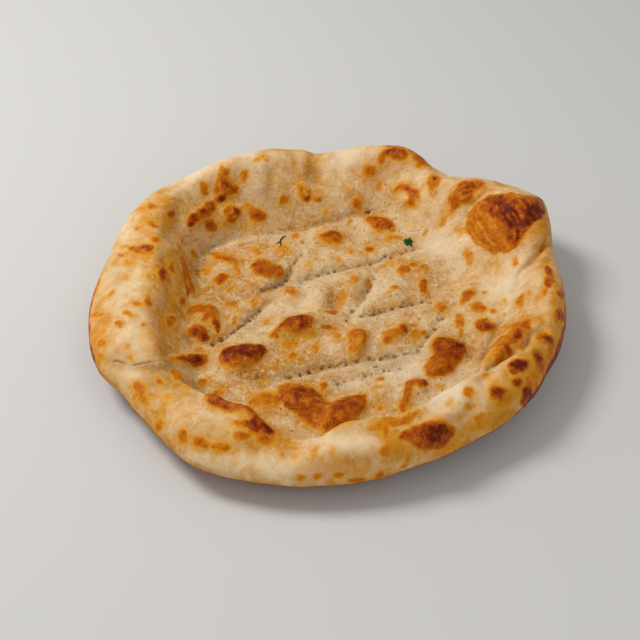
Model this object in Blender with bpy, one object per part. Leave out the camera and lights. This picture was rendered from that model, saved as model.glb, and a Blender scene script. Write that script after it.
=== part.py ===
# Round flatbread with a puffed, folded rim and a dimpled floor, lying flat.
# One piece: browned spots are only colour, so the bread is a single closed body.
# Metres, +Z up, origin at the middle of the footprint on the underside.
# The front (-Y) is the low side of the rim, the big blister is at the back right.

import math

import bmesh
import bpy
import numpy as np

MM = 0.001

# ---------------------------------------------------------------- sizes (mm)
FLOOR_HEIGHT = 8.0        # top skin of the floor, at the middle
BASE_INSET = 46.0         # the underside curls up this far inside the edge
UNDER_DROP = 0.55         # how far down the outer side falls before it turns under
UNDER_TUCK = 0.30         # how flat the curl of the underside starts

MERIDIANS = 96            # points round the bread
FLOOR_RINGS = 15          # rings on the floor
SLOPE_RINGS = 13          # rings up the inner wall
BROW_RINGS = 6            # rings over the top of the rim
UNDER_RINGS = 7           # rings down the outer side and under
BASE_RINGS = 4            # rings of the flat base

# The rim, bearing by bearing (0 = right, 90 = back, 180 = left, 270 = front).
# outer radius, height of the outer edge, height of the crest, then how far the
# crest, the shoulder of the inner wall and its foot lie inside the edge, with
# the height of the shoulder and of the floor at the foot.
RIM = (
    # deg    R  edge crest inset  shoulder(z, inset)  foot(inset, z)
    (0,    115,  18,  29,   11,      22,  22,           50,  9),
    (16,   118,  21,  31,   12,      23,  25,           54,  9),
    (30,   129,  27,  36,   18,      25,  38,           58,  9),
    (42,   124,  25,  35,   16,      24,  34,           50,  9),
    (56,   115,  23,  31,   10,      22,  27,           40,  9),
    (68,   120,  24,  34,   10,      22,  24,           38,  8),
    (78,   119,  24,  33,   10,      22,  24,           38,  8),
    (90,   116,  23,  31,    9,      21,  22,           40,  8),
    (102,  119,  24,  33,   10,      21,  24,           44,  8),
    (114,  120,  24,  33,   10,      21,  24,           47,  8),
    (128,  119,  24,  32,   11,      21,  25,           44,  8),
    (145,  120,  22,  32,   17,      21,  31,           42,  8),
    (165,  113,  20,  31,   25,      20,  37,           48,  8),
    (186,  114,  18,  31,   27,      20,  38,           49,  8),
    (204,  115,  16,  28,   24,      18,  36,           48,  8),
    (213,  111,  15,  26,   19,      18,  29,           40,  8),
    (224,  112,  15,  26,   19,      18,  26,           36,  8),
    (240,  118,  14,  28,   25,      18,  30,           36,  8),
    (248,  117,  13,  28,   25,      18,  30,           36,  8),
    (255,  116,  13,  24,   21,      17,  27,           33,  8),
    (264,  114,  12,  23,   15,      17,  21,           29,  8),
    (276,  112,  12,  27,   18,      18,  23,           30,  8),
    (290,  110,  13,  27,   16,      19,  22,           30,  8),
    (306,  110,  15,  27,   20,      19,  26,           35,  8),
    (320,  112,  16,  30,   17,      20,  26,           34,  8),
    (334,  112,  17,  30,   12,      21,  22,           30,  9),
    (348,  114,  18,  29,   10,      22,  21,           40,  9),
)

# Pressed grooves and creases: depth, half-width and route (x, y).
GROOVES = (
    (3.0, 4.5, ((-70, 32), (-64, 42), (-58, 56), (-34, 62), (-14, 69), (12, 78), (26, 80))),
    (2.6, 3.6, ((-44, 12), (-31, 20), (-21, 29), (-16, 40))),
    (3.0, 3.6, ((-11, 30), (1, 33), (22, 41), (46, 52))),
    (2.4, 3.6, ((-56, -22), (-44, -10), (-33, 5), (-25, 13))),
    (2.4, 3.6, ((-4, -15), (12, -3), (30, 3), (50, 11))),
    (2.0, 3.2, ((12, 2), (20, 15), (25, 36))),
    (2.8, 3.8, ((-36, -43), (-24, -46), (-8, -40), (14, -33), (44, -25))),
    (2.0, 3.2, ((44, -25), (53, -9), (57, 0))),
    (1.6, 3.2, ((6, -47), (27, -39), (40, -33))),
    (3.2, 2.8, ((68, -66), (76, -56), (88, -44), (99, -33))),      # behind the right fold
    (3.0, 2.8, ((-104, -46), (-90, -54), (-78, -56), (-70, -56))),  # pinch across the left rim
    (2.4, 3.0, ((70, 84), (78, 72), (74, 62), (70, 52))),          # beside the corner blister
    (1.4, 4.0, ((-5, 112), (-6, 100), (-8, 90))),                  # dent in the back wall
    (2.6, 3.0, ((118, 40), (108, 29), (99, 16), (92, 5))),         # inside the right roll
)

# Puffed blisters: x, y, half-length, half-width, turn in degrees, height.
BLISTERS = (
    (-40, -30, 14, 8, 14, 4.0), (-63, -32, 11, 6, 12, 2.5),
    (-62, 3, 13, 12, 0, 3.0), (-63, -13, 7, 5, -25, 2.0),
    (-13, -8, 18, 7, 31, 3.5), (-12, -58, 13, 9, -45, 3.0),
    (6, -67, 11, 8, 26, 3.0), (58, -24, 9, 8, -50, 3.5),
    (51, -37, 9, 7, 54, 3.5), (40, -51, 10, 5, 70, 2.0),
    (29, 75, 9, 6, -30, 2.5), (2, 63, 8, 6, -15, 1.6),
    (-31, 36, 8, 7, -45, 2.0), (-49, 41, 9, 5, -50, 1.6),
    (34, -12, 9, 6, 40, 2.0), (14, -19, 10, 6, 90, 2.0),
    (70, 16, 8, 5, 80, 2.0), (77, -8, 7, 6, -60, 2.5),
    (-31, 93, 12, 10, 20, 3.0), (12, 20, 14, 8, 88, 2.5),
    (47, 33, 17, 10, 33, 2.0), (-56, -48, 12, 8, 40, 2.0),
    (92, 46, 23, 21, 30, 8.0),       # the big dark blister at the back right
    (72, 70, 11, 11, 0, 4.5),        # its small neighbour
    (38, 105, 24, 8, -12, 3.0),      # bump on the back rim
    (79, -38, 26, 6, 57, 6.0),       # long fold inside the right rim
)


# ------------------------------------------------------------------- the form
def round_the_rim(column, bearing):
    """One column of RIM, as a smooth closed curve of the bearing."""
    at = np.array([row[0] for row in RIM], float)
    val = np.array([row[column] for row in RIM], float)
    at = np.concatenate([at[-2:] - 360.0, at, at[:3] + 360.0])
    val = np.concatenate([val[-2:], val, val[:3]])
    tangent = np.gradient(val, at)
    tangent[1:-1] = (val[2:] - val[:-2]) / (at[2:] - at[:-2])
    q = np.mod(bearing, 360.0)
    k = np.clip(np.searchsorted(at, q, side="right") - 1, 1, len(at) - 3)
    step = at[k + 1] - at[k]
    return hermite((q - at[k]) / step, val[k], val[k + 1], step * tangent[k], step * tangent[k + 1])


def hermite(t, a, b, slope_a, slope_b):
    return ((2 * t**3 - 3 * t**2 + 1) * a + (t**3 - 2 * t**2 + t) * slope_a
            + (3 * t**2 - 2 * t**3) * b + (t**3 - t**2) * slope_b)


def distance_to_route(x, y, route):
    best = np.full(x.shape, 1e9)
    for (x1, y1), (x2, y2) in zip(route[:-1], route[1:]):
        ex, ey = x2 - x1, y2 - y1
        t = np.clip(((x - x1) * ex + (y - y1) * ey) / (ex * ex + ey * ey), 0.0, 1.0)
        best = np.minimum(best, np.hypot(x - x1 - t * ex, y - y1 - t * ey))
    return best


def relief(x, y):
    """Height that grooves take away and blisters add, on the upper skin."""
    h = np.zeros(x.shape)
    for depth, half_width, route in GROOVES:
        h -= depth * np.exp(-(distance_to_route(x, y, route) / half_width) ** 2)
    for cx, cy, a, b, turn, height in BLISTERS:
        c, s = math.cos(math.radians(turn)), math.sin(math.radians(turn))
        u = ((x - cx) * c + (y - cy) * s) / a
        v = ((y - cy) * c - (x - cx) * s) / b
        h += height * np.exp(-1.4 * (u * u + v * v) ** 1.25)
    return h


def section(bearing):
    """Radius, height and relief weight of every ring, at each bearing."""
    R, edge, crest, crest_in, mid, mid_in, foot_in, foot = (
        round_the_rim(i, bearing)[:, None] for i in range(1, 9))
    r_crest, r_mid, r_foot = R - crest_in, R - mid_in, R - foot_in

    f = np.linspace(0, 1, FLOOR_RINGS + 1)[None, :-1]
    floor_r = r_foot * f
    floor_z = FLOOR_HEIGHT + (foot - FLOOR_HEIGHT) * f * f * (3 - 2 * f)

    t = np.linspace(0, 1, SLOPE_RINGS + 1)[None, :-1]
    wall_r = r_foot + (r_crest - r_foot) * t
    low, high = (mid - foot) / (r_mid - r_foot), (crest - mid) / (r_crest - r_mid)
    slope = 2 * low * high / (low + high)
    t_low = np.clip((wall_r - r_foot) / (r_mid - r_foot), 0, 1)
    t_high = np.clip((wall_r - r_mid) / (r_crest - r_mid), 0, 1)
    wall_z = np.where(wall_r < r_mid,
                      hermite(t_low, foot, mid, 0, slope * (r_mid - r_foot)),
                      hermite(t_high, mid, crest, slope * (r_crest - r_mid), 0))

    a = np.linspace(0, math.pi / 2, BROW_RINGS + 1)[None, :-1]
    brow_r = r_crest + (R - r_crest) * np.sin(a)
    brow_z = edge + (crest - edge) * np.cos(a)
    brow_w = np.cos(a) + 0 * R

    r_base = R - BASE_INSET
    t = np.linspace(0, 1, UNDER_RINGS + 1)[None, :]
    p = ((R, edge), (R, edge * UNDER_DROP), (r_base + UNDER_TUCK * BASE_INSET, 0 * R), (r_base, 0 * R))
    w = ((1 - t)**3, 3 * (1 - t)**2 * t, 3 * (1 - t) * t * t, t**3)
    under_r = sum(w[i] * p[i][0] for i in range(4))
    under_z = sum(w[i] * p[i][1] for i in range(4))

    g = np.linspace(1, 0, BASE_RINGS + 1)[None, 1:]
    base_r, base_z = r_base * g, 0 * R * g

    r = np.concatenate([floor_r, wall_r, brow_r, under_r, base_r], 1)
    z = np.concatenate([floor_z, wall_z, brow_z, under_z, base_z], 1)
    weight = np.concatenate([floor_r * 0 + 1, wall_r * 0 + 1, brow_w, under_r * 0, base_r * 0], 1)
    return r, z, weight


def bread_points():
    """All rings of the bread, as arrays of x, y and z in mm, bearing by ring."""
    bearing = np.arange(MERIDIANS) * 360.0 / MERIDIANS
    r, z, weight = section(bearing)
    a = np.radians(bearing)[:, None]
    x, y = r * np.cos(a), r * np.sin(a)
    z = z + weight * relief(x, y)
    x = x - (x.min() + x.max()) / 2
    y = y - (y.min() + y.max()) / 2
    return x, y, z


# ------------------------------------------------------------------ the model
def make_material():
    mat = bpy.data.materials.new("baked_dough")
    mat.use_nodes = True
    bsdf = mat.node_tree.nodes["Principled BSDF"]
    bsdf.inputs["Base Color"].default_value = (0.72, 0.50, 0.26, 1.0)
    bsdf.inputs["Roughness"].default_value = 0.55
    bsdf.inputs["Metallic"].default_value = 0.0
    return mat


def make_bread(collection):
    """A ball of dough: each ring of a sphere is laid on a ring of the bread."""
    x, y, z = bread_points()
    rings = x.shape[1] - 1

    bm = bmesh.new()
    bmesh.ops.create_uvsphere(bm, u_segments=MERIDIANS, v_segments=rings, radius=1.0)
    for v in bm.verts:
        ring = round(math.acos(max(-1.0, min(1.0, v.co.z))) / math.pi * rings)
        if ring in (0, rings):
            col = 0
        else:
            col = round(math.degrees(math.atan2(v.co.y, v.co.x)) * MERIDIANS / 360.0) % MERIDIANS
        v.co = (x[col, ring] * MM, y[col, ring] * MM, z[col, ring] * MM)
    bmesh.ops.triangulate(bm, faces=bm.faces[:])
    bmesh.ops.recalc_face_normals(bm, faces=bm.faces[:])

    mesh = bpy.data.meshes.new("naan")
    bm.to_mesh(mesh)
    bm.free()
    mesh.materials.append(make_material())
    mesh.shade_smooth()
    bread = bpy.data.objects.new("naan", mesh)
    collection.objects.link(bread)
    return bread


def main():
    for ob in list(bpy.data.objects):
        bpy.data.objects.remove(ob, do_unlink=True)
    collection = bpy.data.collections.new("butter_naan")
    bpy.context.scene.collection.children.link(collection)
    make_bread(collection)


main()
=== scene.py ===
import math

import bmesh
import bpy
import numpy as np
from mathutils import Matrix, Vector, kdtree


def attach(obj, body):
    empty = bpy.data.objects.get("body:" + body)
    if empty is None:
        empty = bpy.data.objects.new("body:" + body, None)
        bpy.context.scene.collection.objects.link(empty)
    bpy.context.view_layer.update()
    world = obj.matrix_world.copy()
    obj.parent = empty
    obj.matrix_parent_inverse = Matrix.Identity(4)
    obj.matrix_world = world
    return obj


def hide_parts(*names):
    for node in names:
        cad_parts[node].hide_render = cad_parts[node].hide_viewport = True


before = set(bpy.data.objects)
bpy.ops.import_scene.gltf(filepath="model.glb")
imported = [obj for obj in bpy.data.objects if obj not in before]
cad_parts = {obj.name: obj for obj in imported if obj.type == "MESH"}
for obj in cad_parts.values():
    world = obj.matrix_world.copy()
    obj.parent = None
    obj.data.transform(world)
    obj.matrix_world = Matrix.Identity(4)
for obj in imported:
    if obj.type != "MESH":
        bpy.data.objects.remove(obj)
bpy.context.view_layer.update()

MM = 0.001

# ------------------------------------------------------------- the bread's form
FLOOR_HEIGHT = 8.0
BASE_INSET = 46.0
UNDER_DROP = 0.55
UNDER_TUCK = 0.30

# deg, outer radius, edge z, crest z, crest inset, shoulder z, inset, foot inset, foot z
RIM = (
    (0,    115,  18,  29,   11,      22,  22,           50,  9),
    (16,   118,  21,  31,   12,      23,  25,           54,  9),
    (30,   129,  27,  36,   18,      25,  38,           58,  9),
    (42,   124,  25,  35,   16,      24,  34,           50,  9),
    (56,   115,  23,  31,   10,      22,  27,           40,  9),
    (68,   120,  24,  34,   10,      22,  24,           38,  8),
    (78,   119,  24,  33,   10,      22,  24,           38,  8),
    (90,   116,  23,  31,    9,      21,  22,           40,  8),
    (102,  119,  24,  33,   10,      21,  24,           44,  8),
    (114,  120,  24,  33,   10,      21,  24,           47,  8),
    (128,  119,  24,  32,   11,      21,  25,           44,  8),
    (145,  120,  22,  32,   17,      21,  31,           42,  8),
    (165,  113,  20,  31,   25,      20,  37,           48,  8),
    (186,  114,  18,  31,   27,      20,  38,           49,  8),
    (204,  115,  16,  28,   24,      18,  36,           48,  8),
    (213,  111,  15,  26,   19,      18,  29,           40,  8),
    (224,  112,  15,  26,   19,      18,  26,           36,  8),
    (240,  118,  14,  28,   25,      18,  30,           36,  8),
    (248,  117,  13,  28,   25,      18,  30,           36,  8),
    (255,  116,  13,  24,   21,      17,  27,           33,  8),
    (264,  114,  12,  23,   15,      17,  21,           29,  8),
    (276,  112,  12,  27,   18,      18,  23,           30,  8),
    (290,  110,  13,  27,   16,      19,  22,           30,  8),
    (306,  110,  15,  27,   20,      19,  26,           35,  8),
    (320,  112,  16,  30,   17,      20,  26,           34,  8),
    (334,  112,  17,  30,   12,      21,  22,           30,  9),
    (348,  114,  18,  29,   10,      22,  21,           40,  9),
)

GROOVES = (
    (3.0, 4.5, ((-70, 32), (-64, 42), (-58, 56), (-34, 62), (-14, 69), (12, 78), (26, 80))),
    (2.6, 3.6, ((-44, 12), (-31, 20), (-21, 29), (-16, 40))),
    (3.0, 3.6, ((-11, 30), (1, 33), (22, 41), (46, 52))),
    (2.4, 3.6, ((-56, -22), (-44, -10), (-33, 5), (-25, 13))),
    (2.4, 3.6, ((-4, -15), (12, -3), (30, 3), (50, 11))),
    (2.0, 3.2, ((12, 2), (20, 15), (25, 36))),
    (2.8, 3.8, ((-36, -43), (-24, -46), (-8, -40), (14, -33), (44, -25))),
    (2.0, 3.2, ((44, -25), (53, -9), (57, 0))),
    (1.6, 3.2, ((6, -47), (27, -39), (40, -33))),
    (3.2, 2.8, ((68, -66), (76, -56), (88, -44), (99, -33))),
    (3.0, 2.8, ((-104, -46), (-90, -54), (-78, -56), (-70, -56))),
    (2.4, 3.0, ((70, 84), (78, 72), (74, 62), (70, 52))),
    (1.4, 4.0, ((-5, 112), (-6, 100), (-8, 90))),
    (2.6, 3.0, ((118, 40), (108, 29), (99, 16), (92, 5))),
)

BLISTERS = (
    (-40, -30, 14, 8, 14, 4.0), (-63, -32, 11, 6, 12, 2.5),
    (-62, 3, 13, 12, 0, 3.0), (-63, -13, 7, 5, -25, 2.0),
    (-13, -8, 18, 7, 31, 3.5), (-12, -58, 13, 9, -45, 3.0),
    (6, -67, 11, 8, 26, 3.0), (58, -24, 9, 8, -50, 3.5),
    (51, -37, 9, 7, 54, 3.5), (40, -51, 10, 5, 70, 2.0),
    (29, 75, 9, 6, -30, 2.5), (2, 63, 8, 6, -15, 1.6),
    (-31, 36, 8, 7, -45, 2.0), (-49, 41, 9, 5, -50, 1.6),
    (34, -12, 9, 6, 40, 2.0), (14, -19, 10, 6, 90, 2.0),
    (70, 16, 8, 5, 80, 2.0), (77, -8, 7, 6, -60, 2.5),
    (-31, 93, 12, 10, 20, 3.0), (12, 20, 14, 8, 88, 2.5),
    (47, 33, 17, 10, 33, 2.0), (-56, -48, 12, 8, 40, 2.0),
    (92, 46, 23, 21, 30, 8.0),
    (72, 70, 11, 11, 0, 4.5),
    (38, 105, 24, 8, -12, 3.0),
    (79, -38, 26, 6, 57, 6.0),
)

# ---------------------------------------------------------------- the viewpoint
# Focal length in pixels of a 640 x 640 picture, how far the view looks down, and
# the distance to the point looked at. Marks below are placed as seen from here.
FOCAL, PITCH, DISTANCE = 1270.0, math.radians(41.0), 608.0
TARGET = np.array([-3.4, -11.0, 15.0])
FORWARD = np.array([0.0, math.cos(PITCH), -math.sin(PITCH)])
UPWARD = np.array([0.0, math.sin(PITCH), math.cos(PITCH)])
EYE = TARGET - DISTANCE * FORWARD
PX = FOCAL / DISTANCE     # pixels to a mm, about 2.1

# ------------------------------------------------------- browned spots, by area
# across, down, half-length, half-width, turn in degrees, how brown (0 to 1)
SPOTS = (
    (141, 394, 12, 5, 85, .56), (160, 426, 8, 6, 60, .56), (183, 438, 8, 6, 90, .64), (201, 443, 9, 5, 0, .58),
    (218, 446, 8, 5, 0, .60), (243, 435, 12, 6, 0, .66), (265, 440, 12, 8, 5, .68),
    (543, 224, 13, 5, 72, .50), (459, 231, 7, 6, 0, .43), (262, 402, 12, 7, -10, .50), (497, 262, 6, 4, 80, .36),
    (536, 378, 16, 10, 62, .46), (553, 345, 12, 5, 75, .60),
    (470, 393, 7, 7, 0, .56), (468, 408, 10, 6, 20, .42), (460, 418, 8, 5, 30, .40), (448, 404, 10, 4, 40, .36),
    (530, 380, 12, 8, 60, .50), (548, 372, 8, 7, 0, .50), (478, 421, 5, 6, 60, .52),
    # back left
    (160, 190, 4, 2, 10, .45), (165, 198, 3, 2, 0, .35), (143, 210, 4, 2.5, 0, .5),
    (153, 208.5, 6.5, 3, -15, .65), (171, 215, 5, 4, -10, .68), (166, 222, 9, 8, -60, .42),
    (152, 226, 7, 3.5, -35, .62), (138, 229, 4, 3, 0, .48), (155, 240, 5, 3.5, -25, .66),
    (125, 246, 7, 2, 5, .45), (150, 251, 5, 4.5, 0, .88),
    (203, 187, 8, 4, 80, .57), (205, 192, 4, 3, 0, .65), (191, 221, 6, 5, 50, .9),
    (201, 213, 9, 4, 33, .85), (209, 206, 6, 6, 60, .78), (210, 227, 6, 6, 0, .8),
    # back
    (224, 173, 7, 6, 90, .65), (224, 186, 7, 6, 0, .72), (216, 189, 6, 4, 80, .6),
    (222, 199, 6, 4, 30, .9), (233, 191, 7, 3.5, 20, .78), (244, 175, 8, 4.5, 80, .58),
    (256, 160, 6, 3, 20, .45), (263, 157, 4, 2, 0, .5), (267, 160, 4, 3, 0, .42),
    (277, 150, 3.5, 2, 0, .42), (277, 165, 4, 3, 90, .35), (284, 170, 5, 3, 70, .35),
    (294, 163, 3.5, 3.5, 0, .42), (308, 159, 4, 3, 90, .42), (319, 154, 4, 3, 90, .35),
    (270, 177, 9, 4, 80, .32), (283, 199, 6, 4.2, 80, .6), (305, 193, 10, 7, -40, .7),
    (307, 198, 5, 4, 0, .8), (318, 200, 5, 3, -10, .62), (326, 211, 5, 4, 80, .45),
    (229, 215, 9, 8, 15, .72), (235, 214, 5, 4.5, 70, .92), (246, 207, 7, 4, 0, .5),
    (257, 217, 9, 5, 0, .82), (250, 214, 5, 4, 0, .7), (247, 229, 6, 3, 0, .4),
    (256, 235, 3, 3, 0, .35), (296, 237, 5, 3, 10, .5), (303, 244, 3, 2, 0, .35),
    (281, 250, 8, 5, 0, .48),
    # back right
    (369, 172, 8.5, 7, 0, .6), (383, 157, 9, 5, 65, .62), (399, 155, 8, 6, -20, .72),
    (419, 160, 9, 5, -45, .68), (395, 147, 14, 2.5, -3, .6), (412, 152, 10, 2.5, -35, .6),
    (336, 171, 3, 3, 0, .35), (346, 188, 4, 4, 0, .42), (379, 187, 6, 3.5, 75, .5),
    (357, 204, 7, 4.5, -60, .68), (433, 182, 8.5, 8.5, 45, .64), (434.5, 180.3, 2, 2, 0, 1.0), (437, 193, 1.2, 1.2, 0, .6),
    (394, 199, 4, 2.5, 0, .35), (350, 223, 6, 3, 70, .45), (379, 228, 5, 1.5, 60, .85), (386, 227, 5, 4, 60, .78), (393, 239, 10, 3, -5, .5),
    (390, 231, 5, 5, -60, .5), (369, 249, 5, 4, 0, .62), (350, 251, 4.5, 3.5, 90, .5),
    (411, 224, 3, 3, 0, .3), (427, 232, 6, 3, 60, .45), (444, 221, 10, 3.5, 62, .5),
    # round the corner blisters
    (468, 187, 4, 3, 0, .8), (480, 188, 8, 3, 0, .55), (500, 184, 9, 2, -25, .48),
    (459, 229, 4, 4, 0, .42), (469, 257, 12, 4.5, -85, .5), (514, 262, 7, 4.5, -75, .5),
    (543, 249, 6, 3, 60, .55), (549, 269, 6, 4, 80, .8),
    # right
    (549, 284, 5, 4, 60, .78), (545, 292, 5, 3, 60, .55), (549, 277, 10, 4, 85, .6),
    (560, 296, 6, 4.5, -50, .7), (560, 315, 8, 4, -75, .78), (556, 317, 8, 4, 80, .55),
    (523, 302, 11, 3.8, 75, .60), (469, 295, 9, 7, 60, .66), (470, 294, 4, 4, 0, .72),
    (464, 303, 5, 4, 60, .62), (479, 308, 8, 6, -10, .66), (485, 293, 4, 2.5, 0, .5),
    (493, 312, 4, 3, 0, .58), (505, 302, 4, 3, 90, .38), (485, 327, 11, 6, -12, .75),
    (488, 327, 5, 3.5, -10, .95), (460, 322, 7, 5, 75, .6), (461, 332, 5, 3, 85, .5),
    (498, 318, 3, 2, 60, .4), (473, 341, 5, 3, 0, .4), (510, 341, 31, 7, 46, .62),
    (517, 340, 7, 5, 50, .92), (527, 328, 6, 4, 60, .75), (506, 352, 5, 4, 50, .8),
    (497, 358, 8, 6, 40, .58), (548, 338, 8, 5.5, -35, .94), (545, 339, 11, 9, -30, .66),
    (538, 359, 11, 4.5, -65, .95), (537, 358, 13, 8, -65, .68), (518, 366, 11, 7, 0, .97),
    (512, 372, 5, 4, 50, .85), (562, 330, 5, 2, 90, .6), (551, 355, 10, 4, 75, .55),
    # front right
    (505, 402, 17, 8, 38, .48), (531, 386, 13, 8, 60, .52), (546, 364, 15, 8, 70, .48),
    (480, 426, 15, 6, 30, .42), (552, 343, 12, 6, 80, .44), (448, 447, 14, 5, 22, .44),
    (515, 384, 5.5, 5, 0, .92), (515, 384, 8, 8, 0, .6), (525, 393, 9, 5, 70, .95),
    (523, 402, 5, 4, 70, .8), (495, 394, 7.5, 7, 0, .97), (495, 394, 12, 11, 0, .55),
    (471, 393, 6, 5, 20, .58), (487, 375, 5, 3, 0, .5), (468, 409, 5, 3, 0, .48),
    (481, 418, 7, 4, 50, .52), (505, 402, 9, 6, -20, .5), (461, 436, 4, 3, 40, .4),
    (433, 435, 15, 10.5, 25, .97),
    (407, 457, 8, 4, 80, .5), (392, 424, 12, 3.5, 0, .62), (407, 419, 14, 3, 25, .58),
    (384, 433, 9, 4.5, 80, .6), (398, 424, 14, 4, 14, .62), (376, 428, 12, 3, 8, .5), (383, 451, 8, 6, 10, .55), (388, 442, 9, 6, 90, .45),
    (404, 466, 5, 3, 30, .5), (380, 475, 6, 4, 20, .6), (357, 480, 12, 2, 5, .65),
    (360, 471, 5, 4, 0, .42), (340, 475, 6, 4, 0, .52), (340, 461, 4, 4, 0, .35),
    (333, 454, 8, 3, 85, .4),
    # floor, right and middle
    (340, 296, 8, 7, 0, .44), (332, 311, 9, 2.5, -5, .62), (361, 340, 9, 3, -85, .68), (351, 348, 10, 4, 80, .5),
    (440, 309, 8, 6, -30, .58), (442, 309, 3, 3, 0, .68), (402, 330, 5, 5, 30, .72), (388, 340, 5, 5, 0, .66), (418, 335, 8, 5, 15, .5),
    (423, 333, 3, 3, 0, .58), (414, 325, 4, 3, 0, .5), (455, 350, 9, 6, -35, .92), (444, 343, 8, 4, -20, .9), (423, 385, 5, 4, 0, .82), (404, 411, 5, 4, 0, .6), (440, 388, 7, 5, 10, .4), (380, 379, 6, 3.5, 10, .5),
    (377, 388, 7, 2.5, 0, .5), (381, 408, 5.5, 4, 0, .5), (323, 386, 4.5, 4, 0, .68),
    (340, 409, 10, 8, 20, .85), (357, 400, 7, 4, -15, .7),
    (355, 282, 6, 4.5, -60, .5), (366, 284, 4, 4, 0, .48), (404, 273, 7, 6, 20, .66),
    (413, 267, 5, 3.5, 10, .62), (424, 268, 6, 4, 0, .6), (423, 288, 10, 5, -85, .68),
    (424, 284, 5, 3, 90, .78), (395, 290, 6, 4.5, 15, .58), (388, 295, 4, 3, 0, .42),
    (338, 262, 5, 4, 90, .42), (391, 263, 8, 4, 15, .35), (356, 298, 5, 4, 90, .4),
    (301, 321, 9, 2.5, 5, .93), (290, 325, 10, 4, 25, .75), (298, 329, 10, 5, 10, .62),
    (308, 333, 10, 6, -10, .5), (275, 335, 8, 4, 10, .62), (267, 322, 4, 3, 0, .48),
    (326, 328, 7.5, 3.5, -3, .68), (338, 336, 6, 3, 0, .5), (310, 264, 4, 3, 0, .38),
    (291, 292, 9, 5, -8, .52), (293, 293, 3, 2.5, 0, .62), (293, 356, 7, 5.5, 30, .58),
    (316, 347, 7, 4.5, 60, .55), (291, 343, 9, 5, 30, .5),
    # floor, left
    (220, 260, 8, 4.5, -15, .56), (232, 264, 8, 5, -40, .6), (238, 273, 7, 3, -75, .5),
    (220, 282, 9, 5, 15, .68), (221, 283, 4, 2.5, 0, .8), (229, 291, 3.5, 3.5, 0, .45),
    (257, 254, 7, 4, -30, .5), (260, 270, 9, 7, 30, .68), (262, 268, 4, 3, 0, .76),
    (275, 274, 7, 6, -10, .7), (231, 304, 8, 3.2, 0, .54), (255, 304, 5, 4.5, -30, .5),
    (235, 320, 7, 3, 80, .52), (218, 328, 7, 4.5, -75, .82), (225, 317, 4, 4, 0, .42),
    (194, 254, 6, 3.5, -80, .64), (206, 272, 6, 3.5, 0, .5), (193, 310, 7, 4, 10, .68),
    (211, 309, 6, 4, -40, .66), (207, 319, 5, 4, 80, .66), (205, 323, 5, 3, 0, .55),
    (196, 334, 12.5, 6, -15, .75), (195, 334, 4, 3.5, 80, .97), (204, 338, 5, 3.5, -10, .85),
    (195, 361, 12, 5, -3, .95), (172, 359, 6, 3, 0, .55),
    (197, 366, 8, 4, 0, .75), (200, 350, 8, 4, 0, .5), (176, 375, 7, 4.5, -40, .58),
    (186, 388, 6, 4, -45, .42), (203, 383, 7, 4, 0, .62), (240, 353, 18, 5, 8, .97), (228, 358, 7, 5, 60, .92), (218, 396, 7, 4.5, 0, .64),
    (222, 386, 5, 3, 0, .42), (262, 378, 5, 4, 90, .42), (262, 387, 5, 3, -30, .45),
    (262, 402, 10, 5.5, 20, .52), (254, 406, 5, 4, 40, .5), (275, 404, 4, 4, 0, .48),
    (302, 394, 14, 5, -10, .85), 
    # left rim
    (121, 256, 4.5, 2.5, -20, .6), (127, 262, 6, 3, -50, .48), (134, 262, 4, 2, 0, .35),
    (115, 264, 4, 3, 60, .4), (125, 277, 4, 4, 0, .42), (160, 275, 9, 4.5, 80, .8),
    (187, 274, 20, 2.2, -72, .62), (178, 282, 14, 1.8, -76, .42), (168, 262, 12, 1.6, -78, .4),
    (163, 318, 16, 2, 84, .42), (152, 330, 14, 2, 84, .38),
    (157, 266, 3, 3, 0, .5), (148, 276, 5, 3, 80, .48), (171, 268, 10, 3, -80, .55),
    (171, 269, 4, 2.5, -80, .68), (164, 292, 10, 3, 85, .42), (185, 268, 16, 3, -72, .6),
    (191, 288, 7, 4.5, -75, .66), (181, 301, 5, 4, 0, .66), (147, 303, 7, 4, 90, .66),
    (137, 305, 6, 3, 0, .55), (111, 293, 5, 2.5, 55, .5), (104, 297, 3, 3, 45, .4),
    (98, 314, 10, 3, 12, .52), (128, 316, 6, 3.5, -35, .58), (120, 326, 5, 3.5, 0, .56),
    (142, 325, 3, 3, 0, .55), (170, 321, 6, 4.5, 20, .64), (102, 343, 6, 5, 20, .52),
    (104, 331, 6, 4, 80, .42), (103, 356, 4, 4, 0, .48), (127, 347, 3.5, 3.5, 0, .45),
    (130, 357, 4, 4, 0, .48), (160, 381, 6, 3.5, -60, .66), (141, 389, 7, 6, 70, .58),
    (142, 388, 3, 2.5, 0, .68), (145, 402, 7, 4, -80, .52), (137, 396, 10, 3, 60, .45),
    (167, 397, 7, 4, -15, .45), (160, 425, 7, 5, 60, .58), (182, 438, 7, 5, 70, .6),
    (196, 443, 5, 5, 0, .5), (205, 446, 6, 3.5, 0, .62),
    # front flap
    (267, 430, 9, 4, -38, .99), (257, 424, 9, 4, -35, .88), (224, 407, 9, 2.5, -8, .9), (236, 424, 7, 3, -10, .45), (265, 442, 9, 6, -10, .7),
    (266, 440, 4, 3.5, 0, .78), (241, 435, 10, 4, 5, .66), (242, 434, 4, 2.5, 0, .78),
    (226, 447, 7, 3, 0, .62), (293, 445, 7, 3, -25, .45), (300, 476, 5, 4, 0, .52),
    (317, 475, 6, 4, 0, .55), (315, 451, 5, 4, 40, .45), (281, 454, 4, 3, 90, .45),
    (295, 456, 5, 5, 0, .38),
)

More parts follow.
